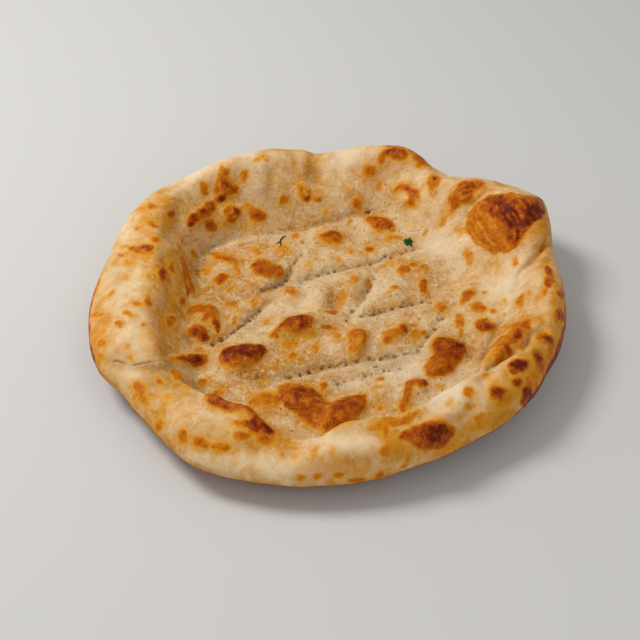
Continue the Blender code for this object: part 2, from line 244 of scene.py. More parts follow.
# Larger browned patches: how brown, how brown at the upper side, and the outline.
PATCHES = (
    (.66, .74, ((277, 394), (281, 387), (294, 384.5), (313, 389), (321, 396), (325, 402), (332, 404),
                (343, 399), (357, 395), (367, 397), (366, 406), (362, 415), (350, 425), (337, 431.5),
                (322, 431.5), (309, 426), (298, 418), (289, 410), (280, 401))),
    (.76, .86, ((243, 412), (250, 412), (256.5, 417), (263.5, 423), (269.5, 429), (274, 436), (266, 435),
                (256, 433.5), (248, 430), (238, 426), (231, 422), (242, 421.5), (250, 421), (252, 418), (247, 415))),
    (.62, .80, ((206, 403), (214, 402), (222, 404), (231, 406.5), (243, 410.5), (240, 414), (228, 412.5), (216, 409.5), (209, 407))),
    (.66, .60, ((195, 437), (204, 437), (210, 442), (210, 448), (198, 447), (194, 442))),
    (.64, .56, ((217, 443), (226, 442), (232, 446), (230, 451), (218, 451))),
    (.54, .74, ((184, 313), (190, 307), (198, 304), (208, 305), (216, 310), (220, 321), (218, 331), (213, 327),
                (211, 320), (206, 315), (198, 314), (191, 318))),
    (.62, .60, ((221.5, 166), (227, 176), (233, 184), (240, 190), (231, 196), (220, 205), (212, 200), (218, 191),
                (212, 186), (217, 174))),
    (.72, .68, ((221, 211), (226, 205), (234, 204), (241, 209), (239, 218), (233, 224), (225, 222))),
    (.74, .66, ((244, 208), (252, 207), (264, 212), (266, 219), (259, 223), (249, 220))),
    (.60, .72, ((251, 270), (255, 264), (263, 262), (272, 266), (281, 269), (283, 275), (278, 280), (269, 279),
                (260, 277), (253, 276))),
    (.56, .62, ((249, 404), (254, 398), (264, 394), (279, 396), (286, 403), (274, 408), (257, 409))),
    (.64, .86, ((434, 343), (441, 340), (453, 340), (463, 344), (466, 350), (464, 356), (458, 363),
                (456, 371), (448, 375), (436, 377), (426, 375), (424, 368), (429, 361), (434, 356), (433, 350))),
    (.52, .98, ((219, 360), (223, 353), (233, 349), (249, 347), (264, 347), (267, 351), (262, 360),
                (256, 366), (243, 370), (227, 370), (220, 366))),
    (.78, .86, ((169, 359), (180, 355), (196, 356), (206, 357), (208, 362), (203, 366), (193, 367), (181, 363))),
    (.48, .90, ((269, 335), (279, 328), (286, 321), (299, 317), (310, 319), (313, 323), (311, 330),
                (301, 333), (292, 333), (281, 337), (271, 338))),
    (.70, .78, ((396, 438), (403, 431), (416, 426), (429, 423), (443, 423), (454, 427), (455, 433),
                (448, 443), (439, 449), (426, 453), (417, 449), (409, 443), (399, 441))),
    (.64, .72, ((365, 217), (373, 216), (383, 219), (390, 224), (391, 230), (385, 232), (375, 233), (368, 226))),
    (.62, .80, ((318, 237), (326, 233), (335, 233), (343, 238), (342, 244), (331, 246), (320, 243))),
    (.66, .70, ((393, 188), (399, 184), (409, 184), (418, 191), (420, 198), (415, 206), (408, 207),
                (407, 203), (411, 198), (409, 193), (403, 191), (395, 192))),
    (.62, .70, ((458, 185), (464, 181), (476, 181), (486, 183), (484, 188), (476, 193), (469, 200),
                (458, 208), (453, 216), (449, 215), (448, 208), (451, 198))),
    (.60, .64, ((484, 366), (491, 358), (496, 352), (506, 344), (511, 333), (521, 325), (531, 319),
                (534, 322), (529, 333), (522, 340), (512, 348), (502, 355), (492, 361), (487, 366))),
    (.60, .66, ((404, 390), (406, 383), (415, 380), (426, 380), (430, 384), (425, 389), (414, 390),
                (412, 398), (409, 408), (403, 412), (398, 409), (400, 400))),
    (.56, .66, ((381, 336), (385, 331), (396, 329), (404, 325), (408, 329), (406, 335), (398, 339), (388, 342), (383, 341))),
    (.52, .60, ((350, 333), (358, 331), (365, 334), (364, 344), (361, 355), (355, 356), (352, 346), (347, 341))),
    (.55, .68, ((214, 257), (222, 255), (232, 257), (238, 263), (240, 272), (237, 277), (232, 268), (224, 263), (216, 262))),
    (.58, .72, ((187, 224), (190, 218), (198, 213), (205, 208), (214, 206), (216, 209), (208, 215), (198, 221), (190, 227))),
    (.70, .85, ((382, 155), (386, 150), (396, 147), (404, 149), (408, 155), (403, 161), (395, 160), (388, 158))),
    (.60, .70, ((411, 153), (418, 156), (426, 162), (429, 167), (422, 167), (414, 162), (409, 158))),
    (.55, .75, ((127, 249), (134, 246), (146, 245), (155, 250), (154, 256), (146, 258), (136, 255), (129, 252))),
)

# The big dark blister: its outline, how brown it is from place to place, and its
# wrinkles.
BLISTER_EDGE = ((477, 201), (486, 196), (501, 193.5), (514, 193.5), (526, 195.5), (537, 195.5),
                (543, 200), (545, 209), (542, 218), (534, 226), (528, 233), (526, 240), (519, 247),
                (509, 254), (492, 254), (481, 248), (471, 241), (466, 233), (465, 223), (467, 213), (472, 206))
BLISTER_SPOTS = (
    (494, 226, 22, 24, 0, .56), (503, 211, 20, 14, -42, .80), (510, 214, 22, 9, -54, .97),
    (507, 219, 13, 6, -62, 1.02), (533, 213, 12, 8, -20, .98), (537, 202, 8, 6, 0, .72),
    (521, 203, 11, 7, 0, .80), (496, 200, 13, 7, 0, .86), (515, 238, 10, 9, 0, .80),
    (526, 224, 8, 10, 0, .92), (487, 240, 14, 9, -30, .58), (478, 214, 6, 8, 0, .54),
    (505, 232, 12, 7, -50, .72), (488, 208, 10, 7, 0, .72),
)
WRINKLES = (
    ((507, 197), (514, 208), (521, 222), (525, 231)), ((497, 200), (502, 212), (509, 223), (515, 232)),
    ((486, 204), (490, 215), (497, 225), (501, 233)), ((518, 196), (526, 205), (532, 216), (536, 223)),
    ((470, 222), (476, 235), (486, 246)), ((483, 228), (491, 239), (502, 248)),
    ((476, 210), (480, 222), (487, 233)), ((530, 199), (537, 207), (541, 214)),
    ((503, 236), (509, 243), (512, 250)), ((516, 225), (519, 236), (517, 243)),
    ((473, 233), (481, 241), (492, 250)), ((502, 202), (509, 213), (515, 221)),
    ((457, 196), (462, 190), (472, 186)), ((455, 204), (461, 198), (470, 191)),
)

# Soft tints of the dough: across, down, half-length, half-width, turn, strength.
# The golden tints are partly the dough's own colour and partly painted shade; the
# pale tints are painted highlights; the olive tints are painted shade.
GOLDEN_AND_SHADE_TINTS = (
    (538, 218, 16, 26, -20, .8), (460, 232, 12, 10, 0, .5), (262, 404, 18, 10, 0, .7),
    (540, 250, 15, 28, -15, .9), (108, 330, 20, 20, 0, .55), (258, 250, 26, 20, 0, .45), (450, 250, 22, 18, 0, .3),
    (400, 290, 26, 20, 0, .45), (450, 290, 22, 18, 0, .4), (402, 250, 24, 16, 0, .3), (306, 398, 22, 16, 0, .7),
    (455, 405, 26, 16, 35, .45), (445, 440, 30, 18, 10, .8), (306, 362, 24, 18, 0, .6), (550, 368, 26, 30, 55, .8),
    (450, 365, 20, 16, 0, .35), (405, 405, 26, 14, 0, .3),
    (172, 285, 18, 56, 6, .9), (182, 262, 12, 30, 14, .6), (160, 345, 14, 40, -4, .5),
    (300, 352, 34, 18, 10, .7), (250, 376, 28, 14, 0, .5), (230, 425, 40, 14, -15, .5), (150, 395, 26, 22, -40, .45),
    (115, 362, 26, 20, 20, .6), (104, 300, 16, 34, 70, .3), (200, 285, 16, 22, 0, .8), (160, 210, 22, 18, 0, .5), (250, 208, 60, 22, 0, .5), (300, 222, 60, 10, 5, .35),
    (500, 412, 34, 16, 38, .95), (452, 446, 30, 12, 25, .9), (165, 350, 16, 34, 0, .55), (545, 385, 22, 30, 40, .7),
    (182, 420, 34, 14, -30, .35), (350, 330, 60, 16, 15, .3), (430, 290, 30, 24, 0, .3), (250, 290, 50, 24, 0, .3),
    (287, 448, 16, 14, 0, .85), (205, 440, 16, 9, 0, .8), (100, 330, 10, 30, 0, .5),
    (150, 220, 22, 12, 40, .4), (375, 432, 26, 9, 12, .6), (398, 452, 24, 16, 20, .5), (330, 470, 40, 10, 0, .5),
    (470, 420, 26, 12, 35, .4), (548, 270, 16, 12, 80, .4), (455, 240, 10, 16, 60, .3), (160, 330, 16, 40, 0, .6),
    (168, 290, 52, 17, 87, .75), (150, 300, 40, 10, 88, .35), (170, 212, 16, 12, -60, .55),
    (170, 385, 30, 18, -20, .55), (95, 325, 30, 7, 80, .75), (98, 352, 14, 8, 60, .6),
    (314, 172, 11, 22, 0, .7), (280, 152, 40, 5, 0, .45), (205, 180, 26, 8, 35, .4),
    (272, 178, 8, 12, 0, .4), (436, 268, 9, 12, 0, .45), (390, 258, 26, 5, 14, .35),
    (524, 300, 16, 7, 75, .45), (556, 305, 40, 9, 85, .85), (535, 362, 46, 22, 60, .85),
    (520, 330, 24, 12, 50, .6), (500, 385, 22, 18, 10, .55), (430, 437, 36, 22, 15, .75),
    (388, 440, 14, 22, 0, .65), (262, 430, 30, 10, -25, .55), (318, 462, 26, 18, 0, .35),
    (365, 470, 30, 12, 10, .35), (300, 400, 34, 20, -35, .4), (343, 414, 26, 18, 20, .35),
    (243, 358, 32, 16, 8, .45), (190, 360, 26, 10, 0, .4), (449, 355, 22, 20, 0, .35),
    (300, 325, 20, 10, 0, .4), (495, 240, 30, 28, 0, .4), (505, 270, 22, 10, 10, .3),
    (395, 165, 34, 14, 0, .4), (140, 240, 22, 22, 0, .35), (222, 195, 26, 30, 0, .3),
    (215, 445, 50, 8, -5, .55), (160, 415, 26, 10, 50, .4), (452, 262, 12, 14, 0, .35),
)
# Painted highlights: paler cream where the puffs and slopes face the light.
PAINTED_HIGHLIGHTS = (
    (446, 402, 24, 13, 35, .6), (412, 370, 22, 10, 10, .4), (300, 470, 40, 14, 0, .4), (345, 440, 22, 10, 5, .4),
    (208, 168, 22, 14, 25, .7), (255, 162, 26, 12, -5, .45), (350, 160, 24, 12, 0, .5),
    (205, 166, 32, 9, 28, .5), (305, 285, 24, 13, 10, .55), (402, 372, 28, 14, 10, .75), (112, 285, 12, 20, 20, .4),
    (335, 352, 26, 9, 12, .35), (275, 312, 16, 8, 25, .4), (465, 240, 8, 16, 10, .4),
    (446, 245, 32, 20, -30, .9), (345, 160, 14, 10, 0, .6), (256, 190, 16, 14, 0, .45),
    (392, 288, 22, 12, 15, .6), (130, 340, 26, 22, 80, .45), (135, 375, 22, 10, 0, .5),
    (452, 392, 24, 16, 40, .8), (470, 408, 34, 10, 38, .5), (455, 366, 16, 10, 20, .45), (430, 400, 10, 8, 0, .2),
    (505, 285, 30, 18, 50, .7), (520, 262, 16, 9, 20, .5), (362, 150, 10, 8, 0, .5),
    (305, 445, 20, 7, 20, .4), (350, 445, 24, 9, 5, .5), (205, 415, 26, 8, -15, .3),
    (420, 175, 10, 8, 0, .45), (445, 195, 9, 9, 0, .3), (120, 235, 14, 10, 50, .4),
    (345, 380, 20, 8, 10, .3), (405, 355, 16, 8, 0, .35), (300, 215, 30, 8, 5, .25),
    (372, 322, 24, 8, 14, .3), (240, 300, 18, 10, 20, .25),
)
# Painted shade: greenish-brown darkening on walls turned from the light, in hollows and dimples, and beside the pricked
# rows.
PAINTED_SHADE_ZONES = (
    (306, 364, 22, 12, 8, .5), (162, 368, 18, 18, 0, .8),
    (112, 268, 18, 32, 20, .22), (206, 300, 18, 28, 0, .55),
    (112, 368, 24, 20, 0, .5), (150, 408, 40, 14, -45, .35), (215, 432, 44, 12, -12, .3), (505, 415, 34, 12, 38, .3),
    (300, 368, 36, 9, 10, .6), (262, 379, 16, 9, 0, .4), (375, 362, 50, 7, 8, .35), (320, 276, 50, 7, 14, .3),
    (230, 336, 26, 7, 38, .4), (393, 312, 36, 6, 10, .3), (276, 288, 20, 7, 25, .35),
    (168, 355, 10, 26, -8, .8), (184, 380, 18, 12, -35, .8), (300, 214, 50, 12, 4, .55), (250, 196, 34, 16, 0, .35),
    (345, 232, 40, 6, -8, .3), (158, 372, 30, 12, -40, .5),
    (316, 174, 9, 17, 0, .65), (271, 178, 7, 11, 0, .5), (337, 300, 11, 11, 0, .6),
    (337, 382, 10, 6, 0, .6), (260, 379, 9, 5, 0, .45), (195, 388, 20, 12, -20, .5),
    (250, 327, 18, 5, 40, .4), (280, 288, 24, 5, 14, .4), (235, 232, 30, 6, 5, .3),
    (300, 372, 36, 5, 10, .35), (178, 205, 10, 20, -10, .4), (402, 358, 30, 5, 14, .3),
)

# Rows of pricked holes, in order along each row.
HOLES = (
    ((303, 244), (302, 255), (295, 263.5), (290, 270), (286, 279.5), (275, 286.5), (262, 290)),
    ((307, 279), (311, 280), (319, 277), (329, 274), (335, 272), (350, 271.5), (360, 268.5),
     (371, 265), (380, 262), (386, 256), (391, 258), (403, 255), (414, 252)),
    ((213, 345), (223, 340), (235, 333), (245, 325), (250, 319), (260, 310)),
    ((347, 321.5), (353, 312), (359, 307), (366, 298), (371, 288), (375, 280)),
    ((362, 318), (374, 315), (381, 312), (393, 310), (403, 308), (413, 305), (422, 303), (431, 304)),
    ((443, 319), (435, 330), (429, 338), (424, 347), (418, 352), (406, 355), (395, 357),
     (382, 360), (370, 359)),
    ((426, 312), (420, 319), (414, 326), (406, 333)),
    ((401, 369), (385, 371), (365, 376), (338, 384)),
    ((257, 377), (290, 378), (300, 375), (310, 373), (322, 369), (335, 367), (346, 365), (358, 362)),
)
PORES = ((199, 271), (197, 275), (204, 262), (209, 254), (215, 246), (183, 240), (188, 236),
         (460, 341), (462, 336), (505, 315), (498, 330), (404, 304), (366, 213))
DEEP = ((350, 271.5), (382, 360), (376, 366.5), (368.5, 212.5), (188.5, 294))

# Thin creases: depth mm, half-width mm, how dark the painted shade along the bottom is, then the points.
CREASES = (
    (0.9, 1.0, .30, ((169, 238), (175, 249), (181, 262), (185, 276), (189, 290), (190, 299))),
    (1.3, 1.1, .28, ((507, 316), (497, 328), (490, 341), (482, 361), (476, 374))),
    (1.6, 1.2, .25, ((534, 330), (524, 350), (509, 358), (492, 367), (480, 373))),
    (0.7, 0.42, .85, ((111, 361), (114, 363), (117, 359.5), (120, 364), (123, 362), (126, 367.5))),
    (0.5, 0.36, .62, ((129, 366), (134, 366), (139, 364), (146, 363), (155, 362))),
    (0.4, 0.34, .40, ((155, 362), (162, 361), (170, 364))),
    (1.5, 1.1, .60, ((324, 311), (330, 312), (338, 313.5))),
    (1.0, 1.1, .22, ((512, 193), (500, 189), (488, 190), (476, 199), (467, 209))),
    (1.1, 1.2, .22, ((547, 228), (543, 246), (537, 257), (523, 270), (514, 280))),
)

# Lips, where a puff of dough stands over the fold above it in the picture: step,
# lip and its width, valley and its width (mm), how dark the painted shade in the
# valley is, then the points. The lip's top gets a painted highlight.
LIPS = (
    (0.7, 1.1, 3.2, 0.8, 1.7, .28, ((196, 262), (212, 248), (232, 240), (250, 236), (266, 233), (276, 235),
                                    (287, 232), (297, 231), (307, 229), (318, 225), (335, 222), (345, 219),
                                    (358, 216), (369, 212.5))),
    (0.4, 0.9, 3.0, 0.5, 1.8, .14, ((302, 281), (318, 278), (335, 273), (352, 271), (371, 266), (386, 258),
                                    (403, 255), (416, 251), (432, 247))),
    (0.5, 0.9, 3.0, 0.9, 1.6, .30, ((213, 347), (224, 342), (236, 333), (246, 325), (256, 316), (264, 308),
                                    (276, 300))),
    (0.3, 0.8, 2.2, 0.5, 1.6, .15, ((347, 323), (362, 319), (380, 313), (403, 308), (422, 304), (432, 303))),
    (0.4, 0.9, 3.0, 0.4, 2.0, .12, ((258, 392), (276, 384), (300, 377), (322, 370), (346, 366), (370, 361),
                                    (395, 358), (414, 353), (428, 342), (438, 327))),
    (0.2, 0.5, 2.0, 0.3, 1.5, .08, ((336, 386), (365, 377), (385, 372), (402, 369))),
    (0.4, 0.8, 2.6, 0.4, 1.6, .10, ((293, 264), (290, 271), (283, 281), (270, 288), (255, 292))),
    (0.4, 0.7, 2.6, 0.3, 1.6, .08, ((345, 326), (353, 313), (361, 304), (368, 294), (376, 280))),
)

# Ridges along the rim: height mm, half-width mm, how brown, then bearing and station.
RIDGES = (
    (1.3, 1.6, .80, ((233, 2.0), (237, 2.0), (241, 1.98), (245, 1.98), (249, 2.0), (252, 2.02), (255, 2.06))),
    (1.2, 3.2, .0, ((268, 2.0), (274, 1.95), (281, 1.9), (288, 1.92), (295, 1.97), (302, 2.0), (309, 2.0), (315, 2.0))),
    (-1.6, 3.5, .0, ((255, 1.7), (259, 1.9), (262, 2.1), (264, 2.4))),
)

# Puffs and hollows: across, down, half-length, half-width, turn, height mm
SWELLS = (
    (536, 204, 14, 10, 0, .7), (513, 198, 24, 8, 0, .3), (345, 450, 34, 12, 5, 1.4), (450, 412, 34, 11, 38, 1.6),
    (337, 300, 9, 10, 0, -3.4), (322, 296, 12, 9, 20, 1.2), (316, 174, 9, 20, -6, -1.4), (272, 178, 6, 12, 10, -.9),
    (256, 188, 15, 17, -10, 1.3), (285, 186, 9, 14, 0, .8), (305, 194, 13, 11, 0, 1.2),
    (229, 182, 12, 18, 0, 1.0), (200, 214, 18, 9, 40, 1.3), (232, 214, 14, 9, 15, 1.3),
    (258, 217, 11, 7, 0, .9), (178, 214, 8, 18, -10, -1.2), (362, 160, 18, 12, 0, 1.2),
    (400, 158, 28, 9, -16, 1.2), (433, 183, 14, 12, 0, 1.2), (398, 196, 22, 13, -20, 1.0),
    (370, 172, 12, 10, 0, .8), (446, 244, 26, 18, -40, 1.2), (540, 232, 9, 14, 20, 1.0),
    (330, 240, 20, 9, -8, 1.3), (382, 226, 22, 10, -10, 1.4), (300, 248, 18, 8, 0, .8),
    (262, 268, 16, 10, 10, 1.2), (222, 268, 20, 9, -25, 1.2), (222, 285, 16, 8, 10, 1.0),
    (315, 265, 20, 7, 8, .9), (360, 283, 18, 9, 12, 1.0), (404, 276, 20, 9, 18, 1.3),
    (424, 286, 8, 12, 0, 1.0), (395, 293, 14, 7, 10, .8), (300, 322, 24, 9, 14, 1.6),
    (320, 290, 12, 8, 10, .9), (290, 294, 14, 7, 8, .9), (360, 338, 12, 14, 0, 1.2),
    (396, 333, 18, 8, 20, 1.3), (325, 333, 20, 8, 5, .8), (244, 356, 30, 13, 10, 1.6),
    (205, 320, 20, 13, 20, 1.3), (193, 334, 14, 8, 0, .8), (190, 360, 22, 8, 0, 1.2),
    (470, 300, 16, 13, -20, 1.4), (486, 327, 13, 8, -10, 1.2), (450, 350, 18, 12, -20, 1.5),
    (438, 366, 14, 9, 12, 1.2), (418, 388, 16, 10, 0, 1.1), (343, 414, 22, 12, 25, 1.6),
    (300, 402, 26, 14, -35, 1.5), (380, 395, 16, 12, 0, .8), (262, 404, 16, 8, 10, .8),
    (220, 396, 16, 8, 0, .9), (510, 341, 34, 9, 47, 1.6), (430, 435, 26, 14, 18, 1.3),
    (500, 393, 20, 16, 20, .9), (384, 445, 16, 14, 0, .8), (340, 455, 20, 12, 5, .7),
    (150, 250, 20, 9, -5, 1.0), (152, 212, 14, 7, 0, .9), (153, 228, 12, 6, -30, .8),
    (160, 284, 8, 22, 4, 1.0), (172, 262, 7, 24, 12, .8), (120, 330, 20, 26, 0, .6),
    (140, 392, 12, 20, 0, .8), (186, 425, 30, 12, -25, .6), (248, 440, 24, 8, -5, .8),
    (300, 465, 16, 12, 0, .8), (523, 300, 8, 20, -20, .8), (553, 300, 8, 22, 0, .7),
)


# ---------------------------------------------------------------------- the form
def hermite(t, a, b, slope_a, slope_b):
    return ((2 * t**3 - 3 * t**2 + 1) * a + (t**3 - 2 * t**2 + t) * slope_a
            + (3 * t**2 - 2 * t**3) * b + (t**3 - t**2) * slope_b)


def round_the_rim(column, bearing):
    at = np.array([row[0] for row in RIM], float)
    val = np.array([row[column] for row in RIM], float)
    at = np.concatenate([at[-2:] - 360.0, at, at[:3] + 360.0])
    val = np.concatenate([val[-2:], val, val[:3]])
    tangent = np.gradient(val, at)
    tangent[1:-1] = (val[2:] - val[:-2]) / (at[2:] - at[:-2])
    q = np.mod(bearing, 360.0)
    k = np.clip(np.searchsorted(at, q, side="right") - 1, 1, len(at) - 3)
    step = at[k + 1] - at[k]
    return hermite((q - at[k]) / step, val[k], val[k + 1], step * tangent[k], step * tangent[k + 1])


def distance_to_route(x, y, route):
    best = np.full(x.shape, 1e9)
    for (x1, y1), (x2, y2) in zip(route[:-1], route[1:]):
        ex, ey = x2 - x1, y2 - y1
        t = np.clip(((x - x1) * ex + (y - y1) * ey) / (ex * ex + ey * ey), 0.0, 1.0)
        best = np.minimum(best, np.hypot(x - x1 - t * ex, y - y1 - t * ey))
    return best


def relief(x, y):
    h = np.zeros(x.shape)
    for depth, half_width, route in GROOVES:
        h -= depth * np.exp(-(distance_to_route(x, y, route) / half_width) ** 2)
    for cx, cy, a, b, turn, height in BLISTERS:
        c, s = math.cos(math.radians(turn)), math.sin(math.radians(turn))
        u = ((x - cx) * c + (y - cy) * s) / a
        v = ((y - cy) * c - (x - cx) * s) / b
        h += height * np.exp(-1.4 * (u * u + v * v) ** 1.25)
    return h


def form(angle, s):
    """The bread's skin at each bearing (radians) and station: 0 to 1 is the floor,
    then the inner wall, the brow, the outer side, and 4 to 5 the flat base."""
    R, edge, crest, crest_in, mid, mid_in, foot_in, foot = (
        round_the_rim(i, np.degrees(angle)) for i in range(1, 9))
    r_crest, r_mid, r_foot, r_base = R - crest_in, R - mid_in, R - foot_in, R - BASE_INSET

    f = np.clip(s, 0, 1)
    floor_z = FLOOR_HEIGHT + (foot - FLOOR_HEIGHT) * f * f * (3 - 2 * f)
    wall_r = r_foot + (r_crest - r_foot) * np.clip(s - 1, 0, 1)
    low, high = (mid - foot) / (r_mid - r_foot), (crest - mid) / (r_crest - r_mid)
    slope = 2 * low * high / (low + high)
    t_low = np.clip((wall_r - r_foot) / (r_mid - r_foot), 0, 1)
    t_high = np.clip((wall_r - r_mid) / (r_crest - r_mid), 0, 1)
    wall_z = np.where(wall_r < r_mid,
                      hermite(t_low, foot, mid, 0, slope * (r_mid - r_foot)),
                      hermite(t_high, mid, crest, slope * (r_crest - r_mid), 0))
    a = np.clip(s - 2, 0, 1) * math.pi / 2
    t = np.clip(s - 3, 0, 1)
    p = ((R, edge), (R, edge * UNDER_DROP), (r_base + UNDER_TUCK * BASE_INSET, 0 * R), (r_base, 0 * R))
    w = ((1 - t)**3, 3 * (1 - t)**2 * t, 3 * (1 - t) * t * t, t**3)
    pieces = (
        (r_foot * f, floor_z, 1 + 0 * s),
        (wall_r, wall_z, 1 + 0 * s),
        (r_crest + (R - r_crest) * np.sin(a), edge + (crest - edge) * np.cos(a), np.cos(a)),
        (sum(w[i] * p[i][0] for i in range(4)), sum(w[i] * p[i][1] for i in range(4)), 0 * s),
        (r_base * (5 - np.clip(s, 4, 5)), 0 * s, 0 * s),
    )
    part = np.clip(np.ceil(s).astype(int) - 1, 0, 4)
    r, z, weight = (np.choose(part, [piece[i] for piece in pieces]) for i in range(3))
    x, y = r * np.cos(angle), r * np.sin(angle)
    return np.stack([x, y, z + weight * relief(x, y)], 1), weight


def middle():
    """How far the form's footprint lies from the frame's origin."""
    a = np.arange(96) * 2 * math.pi / 96
    R = round_the_rim(1, np.degrees(a))
    x, y = R * np.cos(a), R * np.sin(a)
    return np.array([(x.min() + x.max()) / 2, (y.min() + y.max()) / 2, 0.0])


SHIFT = middle()


def noise(p, size, seed, stretch=(1, 1, 1)):
    """Smooth noise from -1 to 1 with lumps about size mm across."""
    n = 32
    grid = np.random.default_rng(seed).uniform(-1, 1, (n, n, n))
    q = p / (size * np.array(stretch, float)) + 500.0
    i = np.floor(q).astype(int)
    f = q - i
    f = f * f * (3 - 2 * f)
    out = np.zeros(len(p))
    for dx in (0, 1):
        for dy in (0, 1):
            for dz in (0, 1):
                w = (np.where(dx, f[:, 0], 1 - f[:, 0]) * np.where(dy, f[:, 1], 1 - f[:, 1])
                     * np.where(dz, f[:, 2], 1 - f[:, 2]))
                out += w * grid[(i[:, 0] + dx) % n, (i[:, 1] + dy) % n, (i[:, 2] + dz) % n]
    return out


def smooth(low, high, value):
    t = np.clip((value - low) / (high - low), 0, 1)
    return t * t * (3 - 2 * t)


# -------------------------------------------------------------- the skin's mesh
GRID = 268                     # squares along each side of the grid
STATIONS = ((0.0, 0.0), (62 / 140, 1.0), (98 / 140, 2.0), (122 / 140, 3.0), (1.0, 3.6))


def on_the_bread(pq):
    """Angle and station of points of a square grid, laid as rings on the bread."""
    p, q = pq[:, 0], pq[:, 1]
    ring = np.maximum(np.abs(p), np.abs(q))
    wide = np.abs(p) >= np.abs(q)
    with np.errstate(divide="ignore", invalid="ignore"):
        angle = np.where(wide, math.pi / 4 * q / p, math.pi / 2 - math.pi / 4 * p / q)
    angle = np.where(ring < 1e-9, 0.0, angle)
    angle = angle + np.where((wide & (p < 0)) | (~wide & (q < 0)), math.pi, 0.0)
    s = np.interp(ring, [a for a, _ in STATIONS], [b for _, b in STATIONS])
    return angle, s


def project(p):
    d = p - EYE
    depth = d @ FORWARD
    return np.stack([320 + FOCAL * d[:, 0] / depth, 320 - FOCAL * (d @ UPWARD) / depth], 1), depth


def seen_from_eye(p, normal):
    """True for points that face the eye with nothing in front of them."""
    px, depth = project(p)
    toward = (EYE - p) / np.linalg.norm(EYE - p, axis=1)[:, None]
    facing = (normal * toward).sum(1)
    cell = np.round(px / 3.0).astype(int)
    key = cell[:, 0] * 4096 + cell[:, 1]
    order = np.argsort(depth)
    keys, first = np.unique(key[order], return_index=True)
    low = dict(zip(keys.tolist(), depth[order][first].tolist()))
    near = np.array([low[k] for k in key.tolist()])
    return (facing > 0.02) & (depth < near + 7.0), facing


class Finder:
    """Finds the point of the skin that shows at a place in the picture."""

    def __init__(self, p, seen):
        px, _ = project(p)
        self.p = p
        ids = np.nonzero(seen)[0]
        self.tree = kdtree.KDTree(len(ids))
        for i in ids:
            self.tree.insert((px[i, 0], px[i, 1], 0.0), int(i))
        self.tree.balance()

    def point(self, u, v):
        near = self.tree.find_n((u, v, 0.0), 3)
        w = np.array([1.0 / (d + 0.15) for _, _, d in near])
        return (np.array([self.p[i] for _, i, _ in near]) * w[:, None]).sum(0) / w.sum()

    def path(self, marks, step=2.0):
        """The marks joined up, as close-set points of the skin."""
        out = []
        for (u1, v1), (u2, v2) in zip(marks[:-1], marks[1:]):
            n = max(1, int(math.hypot(u2 - u1, v2 - v1) / step))
            for k in range(n):
                out.append(self.point(u1 + (u2 - u1) * k / n, v1 + (v2 - v1) * k / n))
        out.append(self.point(*marks[-1]))
        out = np.array(out)
        for _ in range(2):
            out[1:-1] = (out[:-2] + 2 * out[1:-1] + out[2:]) / 4
        return out


def along(p, path, reach):
    """Distance from each point to a path, or reach where it is farther."""
    dist = np.full(len(p), float(reach))
    low, high = path.min(0) - reach, path.max(0) + reach
    near = np.nonzero(((p > low) & (p < high)).all(1))[0]
    q = p[near]
    best = np.full(len(near), float(reach))
    for a, b in zip(path[:-1], path[1:]):
        e = b - a
        t = np.clip((q - a) @ e / max(e @ e, 1e-9), 0, 1)
        best = np.minimum(best, np.linalg.norm(q - a - t[:, None] * e, axis=1))
    dist[near] = best
    return dist


def beside(p, px, path, reach):
    """Distance to a path, its side (positive below it in the picture), and how much
    of the full effect is left, less towards the path's ends."""
    path_px, _ = project(path)
    cut = np.linalg.norm(np.diff(path, axis=0), axis=1)
    run = np.concatenate([[0], np.cumsum(cut)])
    low, high = path.min(0) - reach, path.max(0) + reach
    ids = np.nonzero(((p > low) & (p < high)).all(1))[0]
    q, qpx = p[ids], px[ids]
    best, side, at = np.full(len(ids), float(reach)), np.ones(len(ids)), np.zeros(len(ids))
    for k, (a, b) in enumerate(zip(path[:-1], path[1:])):
        e = b - a
        t = np.clip((q - a) @ e / max(e @ e, 1e-9), 0, 1)
        d = np.linalg.norm(q - a - t[:, None] * e, axis=1)
        nearer = d < best
        ex, ey = path_px[k + 1] - path_px[k]
        cross = ex * (qpx[:, 1] - path_px[k, 1]) - ey * (qpx[:, 0] - path_px[k, 0])
        best = np.where(nearer, d, best)
        side = np.where(nearer, np.sign(cross), side)
        at = np.where(nearer, run[k] + t * cut[k], at)
    ids = ids[best < reach]
    keep = best < reach
    best, side, at = best[keep], side[keep], at[keep]
    fade = smooth(0, 1, np.minimum(at, run[-1] - at) / min(7.0, run[-1] * .3) + .08)
    return ids, best, side, fade


def mesh_normals(mesh, count):
    n = np.empty(count * 3, np.float32)
    mesh.vertex_normals.foreach_get("vector", n)
    return n.reshape(-1, 3).astype(float)


